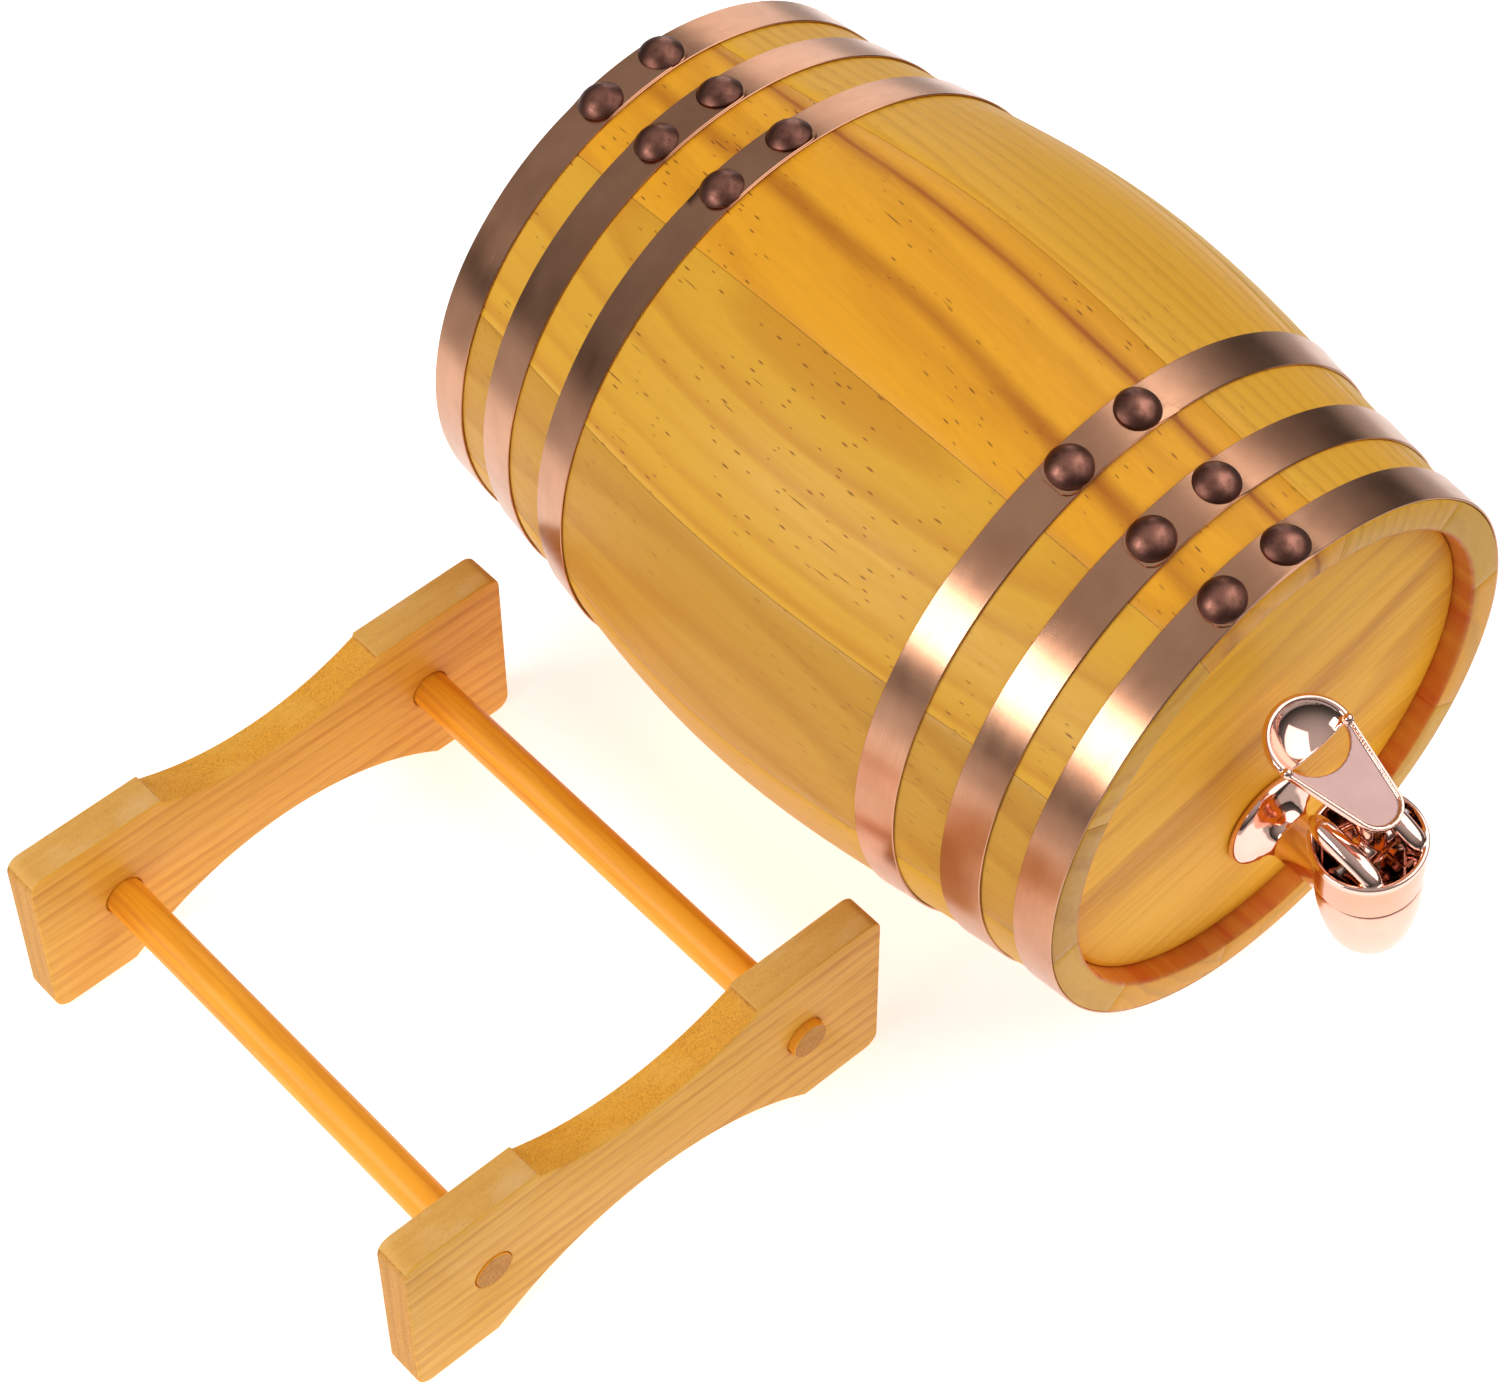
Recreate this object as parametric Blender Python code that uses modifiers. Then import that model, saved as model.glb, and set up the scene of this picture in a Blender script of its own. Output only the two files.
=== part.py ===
"""A small wine barrel with a lever tap, lying on the floor beside its cradle stand.

Units are metres, +Z is up, and the floor is z = 0. The origin is on the floor at the centre of the
whole assembly's box. The barrel's axis runs along Y with the tapped head towards -Y, and the barrel
has rolled a little about that axis. The stand is on its -X side, its two boards across the axis.
"""

import math

import bmesh
import bpy
from mathutils import Matrix, Vector

# Fits between pieces
GAP = 0.0003
JOINT_GAP = 0.00012

# Barrel shell
BILGE_RADIUS = 0.0875
CHIME_RADIUS_RATIO = 0.85
PROFILE_HALF_WAVE_RATIO = 1.434
BARREL_HALF_LENGTH = 0.1117
STAVE_COUNT = 10
STAVE_STEPS = 6
STAVE_THICKNESS = 0.0095
SEAM_TO_STAVE_JOINT = math.radians(-17.8)
CHIME_INNER_RADIUS = 0.0661
CHIME_EDGE = 0.0003
ROLL = math.radians(9.5)

# Heads, held in a groove (the croze) near each end of the staves
HEAD_RECESS = 0.0057
HEAD_THICKNESS = 0.0090
HEAD_TONGUE_THICKNESS = 0.0040
HEAD_TONGUE_RADIUS = 0.0687
HEAD_STEPS = 60

# Hoops and the rivets through their lapped ends
HOOP_THICKNESS = 0.0006
HOOP_OFFSET = 0.00022
HOOP_BANDS = ((CHIME_EDGE - BARREL_HALF_LENGTH, -0.1000), (-0.0899, -0.0783), (-0.0645, -0.0533))
LAP_HALF_ANGLE = math.radians(11.5)
LAP_MARGIN = 0.0004
RIVET_ANGLE = math.radians(7.5)
RIVET_RADIUS = 0.0057
RIVET_HEIGHT = 0.0026
RIVET_SHANK_RADIUS = 0.0012
RIVET_HOLE_RADIUS = 0.0016

# Tap. Its own frame has its origin where the shank's axis meets the head's outer face.
TAP_BELOW_AXIS = 0.0316
TAP_REACH = 0.0340
TAP_STEPS = 28
SHANK_RADIUS = 0.0064
SHANK_HOLE_RADIUS = 0.0067
SHANK_BORE_RADIUS = 0.0034
SHANK_INNER_LENGTH = 0.0230
FLANGE_RADIUS = 0.0136
WASHER_RADIUS = 0.0110
WASHER_THICKNESS = 0.0014
NUT_RADIUS = 0.0112
NUT_THICKNESS = 0.0060
CUP_RIM_RADIUS = 0.0143
CUP_RIM_HEIGHT = 0.0296
CUP_PARTING_RADIUS = 0.0131
CUP_PARTING_HEIGHT = 0.0146
CUP_FLOOR_HEIGHT = 0.0175
CUP_WALL = 0.0017
NOZZLE_BOTTOM_HEIGHT = -0.0120
NOZZLE_TIP_RADIUS = 0.0082
CHAMBER_RADIUS = 0.0090
SEAT_HEIGHT = -0.0062
OUTLET_RADIUS = 0.0050
STEM_RADIUS = 0.0016
STEM_HOLE_RADIUS = 0.0020
STEM_TOP_HEIGHT = 0.0189
STEM_HEAD_RADIUS = 0.0030
SEAT_CUP_RADIUS = 0.0072
PIVOT = Vector((0.0, -0.0350, 0.0290))
PIN_RADIUS = 0.0012
PIN_HOLE_RADIUS = 0.00145
EAR_RADIUS = 0.0048
EAR_INNER = 0.0086
EAR_OUTER = 0.0116

# Lever: a paddle with a thumb ring at its back end, on a web that reaches down into the cup
PADDLE_TILT = math.radians(15.0)
PADDLE_TIP = Vector((0.0, -0.0365, 0.0480))
PADDLE_LENGTH = 0.0214
PADDLE_THICKNESS = 0.0022
PADDLE_TIP_RADIUS = 0.0064
RING_RADIUS = 0.0111
RING_HOLE_RADIUS = 0.0090
DISH_RADIUS = 0.0101
DISH_DEPTH_RATIO = 0.6
DISH_WALL = 0.0012
WEB_HALF_WIDTH = 0.0030

# Bung in the rear head
BUNG_ABOVE_AXIS = 0.0360
BUNG_HOLE_RADIUS = 0.0092
BUNG_LENGTH = 0.0170
BUNG_TAPER = 0.0007

# Stand
BOARD_HALF_LENGTH = 0.0734
BOARD_HEIGHT = 0.0528
BOARD_THICKNESS = 0.0105
BOARD_CORNER_RADIUS = 0.0040
SADDLE_HALF_CHORD = 0.0337
SADDLE_SHOULDER = 0.0012
SADDLE_LOW_HEIGHT = 0.0440
ARCH_HALF_CHORD = 0.0490
ARCH_HEIGHT = 0.0165
STAND_FROM_BARREL = 0.1570
FRONT_BOARD_FROM_BARREL = -0.0643
REAR_BOARD_FROM_BARREL = 0.0794
DOWEL_RADIUS = 0.0052
DOWEL_SPACING = 0.0976
DOWEL_HEIGHT = 0.0269
DOWEL_HOLE_GAP = 0.00015
DOWEL_PROUD = (0.0003, 0.0022)

# Where the barrel and the stand lie, so that the origin is the middle of the whole box
BARREL_X = (BOARD_HALF_LENGTH + STAND_FROM_BARREL - BILGE_RADIUS) / 2
STAND_X = BARREL_X - STAND_FROM_BARREL
FRONT_REACH = BARREL_HALF_LENGTH - HEAD_RECESS + TAP_REACH + CUP_RIM_RADIUS
BARREL_Y = (FRONT_REACH - BARREL_HALF_LENGTH) / 2

TURN = 2 * math.pi
FACING_Y = Matrix.Rotation(math.radians(-90), 4, "X")

MATERIALS = {
    "stave_wood": ((0.72, 0.42, 0.11), 0.42, 0.0),
    "head_wood": ((0.66, 0.38, 0.12), 0.5, 0.0),
    "stand_wood": ((0.74, 0.45, 0.16), 0.5, 0.0),
    "dowel_wood": ((0.78, 0.40, 0.07), 0.45, 0.0),
    "hoop_copper": ((0.55, 0.33, 0.25), 0.3, 1.0),
    "rivet_copper": ((0.22, 0.11, 0.08), 0.35, 1.0),
    "rose_plating": ((0.92, 0.62, 0.50), 0.12, 1.0),
    "silicone": ((0.75, 0.75, 0.72), 0.5, 0.0),
    "steel": ((0.6, 0.6, 0.6), 0.3, 1.0),
}


def clear_scene():
    for item in list(bpy.data.objects):
        bpy.data.objects.remove(item, do_unlink=True)


def new_collection(name):
    collection = bpy.data.collections.new(name)
    bpy.context.scene.collection.children.link(collection)
    return collection


def material(name):
    found = bpy.data.materials.get(name)
    if found:
        return found
    colour, roughness, metallic = MATERIALS[name]
    made = bpy.data.materials.new(name)
    made.use_nodes = True
    shader = made.node_tree.nodes["Principled BSDF"]
    shader.inputs["Base Color"].default_value = (*colour, 1.0)
    shader.inputs["Roughness"].default_value = roughness
    shader.inputs["Metallic"].default_value = metallic
    return made


def new_object(name, mesh, slot, parent=None, matrix=None):
    """Links a mesh as one named part under parent, placed by matrix in the parent's frame."""
    made = bpy.data.objects.new(name, mesh)
    PARTS.objects.link(made)
    made.parent = parent
    made.matrix_local = matrix or Matrix()
    mesh.materials.append(material(slot))
    return made


def empty(name, parent=None, matrix=None):
    made = bpy.data.objects.new(name, None)
    PARTS.objects.link(made)
    made.parent = parent
    made.matrix_local = matrix or Matrix()
    return made


def cutter(made):
    """Turns a part into a helper that only a Boolean reads."""
    PARTS.objects.unlink(made)
    CUTTERS.objects.link(made)
    made.hide_render = True
    made.display_type = "WIRE"
    return made


def smooth(mesh, angle=35):
    mesh.shade_smooth()
    mesh.set_sharp_from_angle(angle=math.radians(angle))


def mesh_from(name, bm, smooth_angle=None):
    bmesh.ops.recalc_face_normals(bm, faces=bm.faces)
    mesh = bpy.data.meshes.new(name)
    bm.to_mesh(mesh)
    bm.free()
    if smooth_angle:
        smooth(mesh, smooth_angle)
    return mesh


def boolean(target, other, operation="DIFFERENCE"):
    step = target.modifiers.new(operation.lower(), "BOOLEAN")
    step.object = other
    step.operation = operation
    step.solver = "EXACT"


def bevel(target, width, segments=2, angle=40):
    step = target.modifiers.new("bevel", "BEVEL")
    step.width = width
    step.segments = segments
    step.limit_method = "ANGLE"
    step.angle_limit = math.radians(angle)


def cylinder_mesh(name, radius, low, high, steps, top_radius=None):
    """A cylinder or cone on local Z between two heights."""
    bm = bmesh.new()
    bmesh.ops.create_cone(
        bm,
        cap_ends=True,
        segments=steps,
        radius1=radius,
        radius2=radius if top_radius is None else top_radius,
        depth=high - low,
        matrix=Matrix.Translation((0, 0, (low + high) / 2)),
    )
    return mesh_from(name, bm, 40)


def box_mesh(name, low, high):
    bm = bmesh.new()
    bmesh.ops.create_cube(bm, size=1.0)
    size = Vector(high) - Vector(low)
    middle = (Vector(high) + Vector(low)) / 2
    bmesh.ops.scale(bm, vec=size, verts=bm.verts)
    bmesh.ops.translate(bm, vec=middle, verts=bm.verts)
    return mesh_from(name, bm)


def turned(name, profile, slot, parent, matrix, steps):
    """A full turn of (radius, height) points about local Z. The points run down the outer side."""
    bm = bmesh.new()
    points = [bm.verts.new((radius, 0, height)) for radius, height in profile]
    pairs = list(zip(points, points[1:]))
    if profile[0][0] > 0 or profile[-1][0] > 0:
        pairs.append((points[-1], points[0]))
    for pair in pairs:
        bm.edges.new(pair)
    mesh = bpy.data.meshes.new(name)
    bm.to_mesh(mesh)
    bm.free()
    made = new_object(name, mesh, slot, parent, matrix)
    screw = made.modifiers.new("turn", "SCREW")
    screw.axis = "Z"
    screw.angle = TURN
    screw.steps = steps
    screw.render_steps = steps
    screw.use_merge_vertices = True
    screw.merge_threshold = 0.00001
    screw.use_smooth_shade = True
    return made


def turned_sector(name, profile, start, end, steps):
    """A mesh of the (radius, height) outline turned about local Z from one angle to another."""
    bm = bmesh.new()
    points = [
        bm.verts.new((radius * math.cos(start), radius * math.sin(start), height))
        for radius, height in profile
    ]
    face = bm.faces.new(points)
    bmesh.ops.spin(
        bm,
        geom=[face, *face.edges, *face.verts],
        cent=(0, 0, 0),
        axis=(0, 0, 1),
        angle=end - start,
        steps=steps,
        use_duplicate=False,
    )
    return mesh_from(name, bm, 30)


def outline_solid(name, points, thickness, slot, parent, matrix):
    """A flat outline in local XY, extruded half its thickness each way along local Z, as a mesh."""
    curve = bpy.data.curves.new(name, "CURVE")
    curve.dimensions = "2D"
    curve.fill_mode = "BOTH"
    curve.extrude = thickness / 2
    spline = curve.splines.new("POLY")
    spline.points.add(len(points) - 1)
    for point, (x, y) in zip(spline.points, points):
        point.co = (x, y, 0, 1)
    spline.use_cyclic_u = True
    guide = bpy.data.objects.new(name + "_outline", curve)
    PARTS.objects.link(guide)
    graph = bpy.context.evaluated_depsgraph_get()
    mesh = bpy.data.meshes.new_from_object(guide.evaluated_get(graph))
    bpy.data.objects.remove(guide)
    bm = bmesh.new()
    bm.from_mesh(mesh)
    bmesh.ops.remove_doubles(bm, verts=bm.verts, dist=0.00001)
    mesh = mesh_from(name, bm, 30)
    return new_object(name, mesh, slot, parent, matrix)


def arc(centre, radius, start, end, steps):
    """Points along an arc, its angles counted anticlockwise from +X."""
    return [
        (
            centre[0] + radius * math.cos(start + (end - start) * i / steps),
            centre[1] + radius * math.sin(start + (end - start) * i / steps),
        )
        for i in range(steps + 1)
    ]


def shell_radius(y):
    """The barrel's outer radius at a distance y along its axis from the bilge."""
    wave = math.cos(math.pi * y / (PROFILE_HALF_WAVE_RATIO * BILGE_RADIUS))
    ends = CHIME_RADIUS_RATIO
    return BILGE_RADIUS * (ends + (1 - ends) * (1 + wave) / 2)


def clock(angle):
    """Turns local Z onto the barrel's axis, with local +X at this angle from the seam line."""
    return FACING_Y @ Matrix.Rotation(angle - math.radians(90), 4, "Z")


def stations():
    """Places along the axis where the shell's outline bends, so that each hoop lies flat on it."""
    edges = [-edge for band in HOOP_BANDS for edge in band]
    half = edges + [edges[-1] / 2]
    return half + [0] + [-edge for edge in reversed(half)]


def stave_profile():
    """One stave's section: the outer curve, a chime at each end, and inside it the croze grooves."""
    face = BARREL_HALF_LENGTH - HEAD_RECESS
    groove_out = face - (HEAD_THICKNESS - HEAD_TONGUE_THICKNESS) / 2 + GAP
    groove_in = groove_out - HEAD_TONGUE_THICKNESS - 2 * GAP
    inner = groove_in - 0.0012
    outer = [(shell_radius(y), y) for y in stations()]
    rim = shell_radius(BARREL_HALF_LENGTH) - CHIME_EDGE
    low_end = [
        (rim, -BARREL_HALF_LENGTH),
        (CHIME_INNER_RADIUS, -BARREL_HALF_LENGTH),
        (CHIME_INNER_RADIUS, -groove_out),
        (HEAD_TONGUE_RADIUS + GAP, -groove_out),
        (HEAD_TONGUE_RADIUS + GAP, -groove_in),
        (CHIME_INNER_RADIUS, -groove_in),
    ]
    inside = [
        (shell_radius(y) - STAVE_THICKNESS, y)
        for y in (-inner, -inner / 2, 0, inner / 2, inner)
    ]
    high_end = [(radius, -y) for radius, y in reversed(low_end)]
    return outer + low_end + inside + high_end


def make_staves(barrel):
    step = TURN / STAVE_COUNT
    slack = JOINT_GAP / 2 / BILGE_RADIUS
    mesh = turned_sector("stave", stave_profile(), slack, step - slack, STAVE_STEPS)
    for i in range(STAVE_COUNT):
        angle = SEAM_TO_STAVE_JOINT + i * step
        copy = mesh if i == 0 else mesh.copy()
        new_object(f"stave_{i + 1:02d}", copy, "stave_wood", barrel, clock(angle))


def head_profile(face):
    """A head's half section, running down its edge from the outer face at height face."""
    body = CHIME_INNER_RADIUS - GAP
    step = (HEAD_THICKNESS - HEAD_TONGUE_THICKNESS) / 2
    return [
        (0, face),
        (body, face),
        (body, face - step),
        (HEAD_TONGUE_RADIUS, face - step),
        (HEAD_TONGUE_RADIUS, face - step - HEAD_TONGUE_THICKNESS),
        (body, face - step - HEAD_TONGUE_THICKNESS),
        (body, face - HEAD_THICKNESS),
        (0, face - HEAD_THICKNESS),
    ]


def make_heads(barrel):
    face = BARREL_HALF_LENGTH - HEAD_RECESS
    over = 2 * HEAD_THICKNESS
    for name, flip, height, radius in (
        ("front_head", Matrix.Rotation(math.pi, 4, "X"), -TAP_BELOW_AXIS, SHANK_HOLE_RADIUS),
        ("rear_head", Matrix(), BUNG_ABOVE_AXIS, BUNG_HOLE_RADIUS),
    ):
        matrix = clock(SEAM_TO_STAVE_JOINT) @ flip
        head = turned(name, head_profile(face), "head_wood", barrel, matrix, HEAD_STEPS)
        hole = cylinder_mesh(name + "_hole", radius, -over, over, TAP_STEPS)
        side = -1 if name == "front_head" else 1
        place = Matrix.Translation((0, side * face, height)) @ FACING_Y
        boolean(head, cutter(new_object(name + "_hole", hole, "head_wood", barrel, place)))


def hoop_radius(y):
    return shell_radius(y) + HOOP_OFFSET


def surface_frame(y, angle, lift):
    """Local +Z along the shell's outward normal at this station and angle, at radius plus lift."""
    slope = (shell_radius(y + 0.001) - shell_radius(y - 0.001)) / 0.002
    around = Matrix.Rotation(angle, 4, "Y")
    tilt = Matrix.Rotation(math.atan(slope), 4, "X")
    return around @ Matrix.Translation((0, y, hoop_radius(y) + lift)) @ tilt


def make_hoop(barrel, index, band):
    """A riveted hoop: a plain band, thickened where its two ends lap over each other."""
    low, high = band
    thick = HOOP_THICKNESS
    profile = [
        (hoop_radius(high) + thick, high),
        (hoop_radius(low) + thick, low),
        (hoop_radius(low), low),
        (hoop_radius(high), high),
    ]
    matrix = clock(SEAM_TO_STAVE_JOINT)
    steps = STAVE_COUNT * STAVE_STEPS
    hoop = turned(f"hoop_{index}", profile, "hoop_copper", barrel, matrix, steps)
    lap_low = low + LAP_MARGIN
    lap_high = high - LAP_MARGIN
    lap_profile = [
        (hoop_radius(lap_high) + 2 * thick, lap_high),
        (hoop_radius(lap_low) + 2 * thick, lap_low),
        (hoop_radius(lap_low) + thick / 2, lap_low),
        (hoop_radius(lap_high) + thick / 2, lap_high),
    ]
    name = f"hoop_{index}_lap"
    lap_mesh = turned_sector(name, lap_profile, -LAP_HALF_ANGLE, LAP_HALF_ANGLE, 4)
    boolean(hoop, cutter(new_object(name, lap_mesh, "hoop_copper", barrel, clock(0))), "UNION")
    middle = (low + high) / 2
    for side, mark in ((-1, "a"), (1, "b")):
        frame = surface_frame(middle, side * RIVET_ANGLE, 0)
        hole = cylinder_mesh("rivet_hole", RIVET_HOLE_RADIUS, -0.004, 0.004, 8)
        boolean(hoop, cutter(new_object("rivet_hole", hole, "hoop_copper", barrel, frame)))
        make_rivet(barrel, f"rivet_{index}{mark}", middle, side * RIVET_ANGLE)


def make_rivet(barrel, name, y, angle):
    """A domed head with a short shank through both layers of the hoop."""
    seat = 2 * HOOP_THICKNESS + GAP
    sphere = (RIVET_RADIUS**2 + RIVET_HEIGHT**2) / (2 * RIVET_HEIGHT)
    spread = math.asin(RIVET_RADIUS / sphere)
    dome = [
        (sphere * math.sin(spread * i / 4), RIVET_HEIGHT - sphere + sphere * math.cos(spread * i / 4))
        for i in range(5)
    ]
    dome = [(radius, height + 0.0004) for radius, height in dome]
    profile = dome + [
        (RIVET_RADIUS - 0.0001, 0),
        (RIVET_SHANK_RADIUS, 0),
        (RIVET_SHANK_RADIUS, -seat + 0.0001),
        (0, -seat + 0.0001),
    ]
    turned(name, profile, "rivet_copper", barrel, surface_frame(y, angle, seat), 12)


def make_bung(barrel):
    face = BARREL_HALF_LENGTH - HEAD_RECESS
    outer = BARREL_HALF_LENGTH - 0.0005
    inner = outer - BUNG_LENGTH
    radius = BUNG_HOLE_RADIUS - GAP
    mesh = cylinder_mesh("bung", radius - BUNG_TAPER, inner - face, outer - face, TAP_STEPS, radius)
    place = Matrix.Translation((0, face, BUNG_ABOVE_AXIS)) @ FACING_Y
    bevel(new_object("bung", mesh, "head_wood", barrel, place), 0.0006)


def tap_body(tap):
    """Valve chamber, outlet nozzle, shank and flange, moulded as one piece."""
    down = [
        (0, CUP_PARTING_HEIGHT),
        (CUP_PARTING_RADIUS, CUP_PARTING_HEIGHT),
        (CUP_PARTING_RADIUS - 0.0002, 0.0090),
        (CUP_PARTING_RADIUS - 0.0007, 0.0035),
        (CUP_PARTING_RADIUS - 0.0015, -0.0020),
        (NOZZLE_TIP_RADIUS + 0.0020, -0.0080),
        (NOZZLE_TIP_RADIUS + 0.0008, -0.0105),
        (NOZZLE_TIP_RADIUS - 0.0006, NOZZLE_BOTTOM_HEIGHT),
        (0, NOZZLE_BOTTOM_HEIGHT),
    ]
    axis = Matrix.Translation((0, -TAP_REACH, 0))
    body = turned("tap_body", down, "rose_plating", tap, axis, TAP_STEPS)
    face = WASHER_THICKNESS + 2 * GAP
    # Heights along the shank count from the head's outer face towards the valve.
    along = [
        (0, TAP_REACH - 0.0050),
        (SHANK_RADIUS, TAP_REACH - 0.0050),
        (SHANK_RADIUS, face + 0.0060),
        (SHANK_RADIUS + 0.0010, face + 0.0042),
        (FLANGE_RADIUS - 0.0024, face + 0.0018),
        (FLANGE_RADIUS, face + 0.0002),
        (FLANGE_RADIUS, GAP),
        (WASHER_RADIUS + GAP, GAP),
        (WASHER_RADIUS + GAP, face),
        (SHANK_RADIUS - 0.0001, face),
        (SHANK_RADIUS - 0.0001, -SHANK_INNER_LENGTH),
        (0, -SHANK_INNER_LENGTH),
    ]
    forward = Matrix.Rotation(math.radians(90), 4, "X")
    shank = cutter(turned("tap_shank", along, "rose_plating", tap, forward, TAP_STEPS))
    boolean(body, shank, "UNION")
    chamber = cylinder_mesh("chamber", CHAMBER_RADIUS, SEAT_HEIGHT, 0.03, TAP_STEPS)
    outlet = cylinder_mesh("outlet", OUTLET_RADIUS, -0.03, 0.0, TAP_STEPS)
    bore = cylinder_mesh("bore", SHANK_BORE_RADIUS, -0.03, TAP_REACH, 16)
    for name, mesh, matrix in (
        ("chamber", chamber, axis),
        ("outlet", outlet, axis),
        ("bore", bore, forward),
    ):
        boolean(body, cutter(new_object(name, mesh, "rose_plating", tap, matrix)))


def tap_bonnet(tap):
    """The open cup over the valve, with two ears that carry the lever's pin."""
    low = CUP_PARTING_HEIGHT + GAP
    inner_low = CUP_PARTING_RADIUS - CUP_WALL
    inner_high = CUP_RIM_RADIUS - CUP_WALL
    ring_out = CHAMBER_RADIUS - GAP
    profile = [
        (STEM_HOLE_RADIUS, CUP_FLOOR_HEIGHT),
        (inner_low, CUP_FLOOR_HEIGHT),
        (inner_high, CUP_RIM_HEIGHT - 0.0006),
        (inner_high + 0.0005, CUP_RIM_HEIGHT),
        (CUP_RIM_RADIUS - 0.0005, CUP_RIM_HEIGHT),
        (CUP_RIM_RADIUS, CUP_RIM_HEIGHT - 0.0007),
        (CUP_RIM_RADIUS - 0.0004, CUP_RIM_HEIGHT - 0.0070),
        (CUP_PARTING_RADIUS, low),
        (ring_out, low),
        (ring_out, low - 0.0030),
        (ring_out - 0.0016, low - 0.0030),
        (ring_out - 0.0016, low),
        (STEM_HOLE_RADIUS, low),
    ]
    axis = Matrix.Translation((0, -TAP_REACH, 0))
    bonnet = turned("tap_bonnet", profile, "rose_plating", tap, axis, TAP_STEPS)
    floor = CUP_FLOOR_HEIGHT - 0.0008
    across = Matrix.Rotation(math.radians(90), 4, "Y")
    # Local X of the ear's outline points down and local Y along the barrel's axis.
    top = arc((-PIVOT.z, PIVOT.y), EAR_RADIUS, math.radians(90), math.radians(270), 8)
    ear_points = [(-floor, PIVOT.y + EAR_RADIUS + 0.0004), *top, (-floor, PIVOT.y - EAR_RADIUS - 0.0004)]
    thickness = EAR_OUTER - EAR_INNER
    for side, mark in ((-1, "left"), (1, "right")):
        place = Matrix.Translation((side * (EAR_OUTER + EAR_INNER) / 2, 0, 0)) @ across
        ear = outline_solid("ear_" + mark, ear_points, thickness, "rose_plating", tap, place)
        boolean(bonnet, cutter(ear), "UNION")
    hole = cylinder_mesh("pin_hole", PIN_HOLE_RADIUS, -EAR_OUTER - 0.001, EAR_OUTER + 0.001, 12)
    place = Matrix.Translation(PIVOT) @ across
    boolean(bonnet, cutter(new_object("pin_hole", hole, "rose_plating", tap, place)))


def paddle_outline():
    """Two circles joined by their outer tangents, in local X (across) and Y (from tip to ring)."""
    lean = math.asin((RING_RADIUS - PADDLE_TIP_RADIUS) / PADDLE_LENGTH)
    ring = arc((0, PADDLE_LENGTH), RING_RADIUS, -lean, math.pi + lean, 20)
    tip = arc((0, 0), PADDLE_TIP_RADIUS, math.pi + lean, TURN - lean, 12)
    return ring + tip


def tap_lever(tap):
    """Paddle, thumb ring, its half dish and the web with the cam foot, as one moulding."""
    tilt = Matrix.Rotation(PADDLE_TILT, 4, "X")
    plane = Matrix.Translation(PADDLE_TIP) @ tilt
    pivot = empty("lever_pivot", tap, Matrix.Translation(PIVOT))
    from_pivot = Matrix.Translation(-PIVOT) @ plane
    lever = outline_solid(
        "tap_lever", paddle_outline(), PADDLE_THICKNESS, "rose_plating", pivot, from_pivot
    )
    ring = plane @ Matrix.Translation((0, PADDLE_LENGTH, 0))
    hole = cylinder_mesh("ring_hole", RING_HOLE_RADIUS, -0.02, 0.02, 24)
    boolean(lever, cutter(new_object("ring_hole", hole, "rose_plating", tap, ring)))
    top = PADDLE_THICKNESS / 2 - 0.0004
    dish_profile = [
        (DISH_RADIUS * math.cos(a), top - DISH_DEPTH_RATIO * DISH_RADIUS * math.sin(a))
        for a in (math.radians(angle) for angle in (0, 22, 45, 68, 90))
    ]
    inner = DISH_RADIUS - DISH_WALL
    hollow = [
        (inner * math.cos(a), top - DISH_DEPTH_RATIO * inner * math.sin(a))
        for a in (math.radians(angle) for angle in (90, 68, 45, 22, 0))
    ]
    dish_profile[-1] = (0, dish_profile[-1][1])
    hollow[0] = (0, hollow[0][1])
    dish = new_object(
        "dish", turned_mesh("dish", dish_profile + hollow, 24), "rose_plating", tap, ring
    )
    open_half = box_mesh("open_half", (-0.02, -0.02, -0.02), (0.02, 0, 0.02))
    boolean(dish, cutter(new_object("open_half", open_half, "rose_plating", tap, ring)))
    boolean(lever, cutter(dish), "UNION")
    web_points = [
        (-0.0410, 0.0475),
        (-0.0275, 0.0500),
        (-0.0262, 0.0400),
        (-0.0238, 0.0325),
        (-0.0238, 0.0262),
        (-0.0310, 0.0225),
        (-0.0335, 0.0202),
        (-0.0375, 0.0205),
        (-0.0402, 0.0240),
        (-0.0405, 0.0340),
    ]
    side = Matrix.Rotation(math.radians(90), 4, "Y") @ Matrix.Rotation(math.radians(90), 4, "Z")
    web = outline_solid("web", web_points, 2 * WEB_HALF_WIDTH, "rose_plating", tap, side)
    boolean(lever, cutter(web), "UNION")
    across = Matrix.Translation(PIVOT) @ Matrix.Rotation(math.radians(90), 4, "Y")
    pin_hole = cylinder_mesh("lever_hole", PIN_HOLE_RADIUS, -0.01, 0.01, 12)
    boolean(lever, cutter(new_object("lever_hole", pin_hole, "rose_plating", tap, across)))


def turned_mesh(name, profile, steps):
    """The same full turn as turned(), already a mesh, for a shape that a Boolean goes on to cut."""
    made = turned(name + "_profile", profile, "rose_plating", None, None, steps)
    graph = bpy.context.evaluated_depsgraph_get()
    mesh = bpy.data.meshes.new_from_object(made.evaluated_get(graph))
    bpy.data.objects.remove(made)
    mesh.materials.clear()
    return mesh


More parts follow.
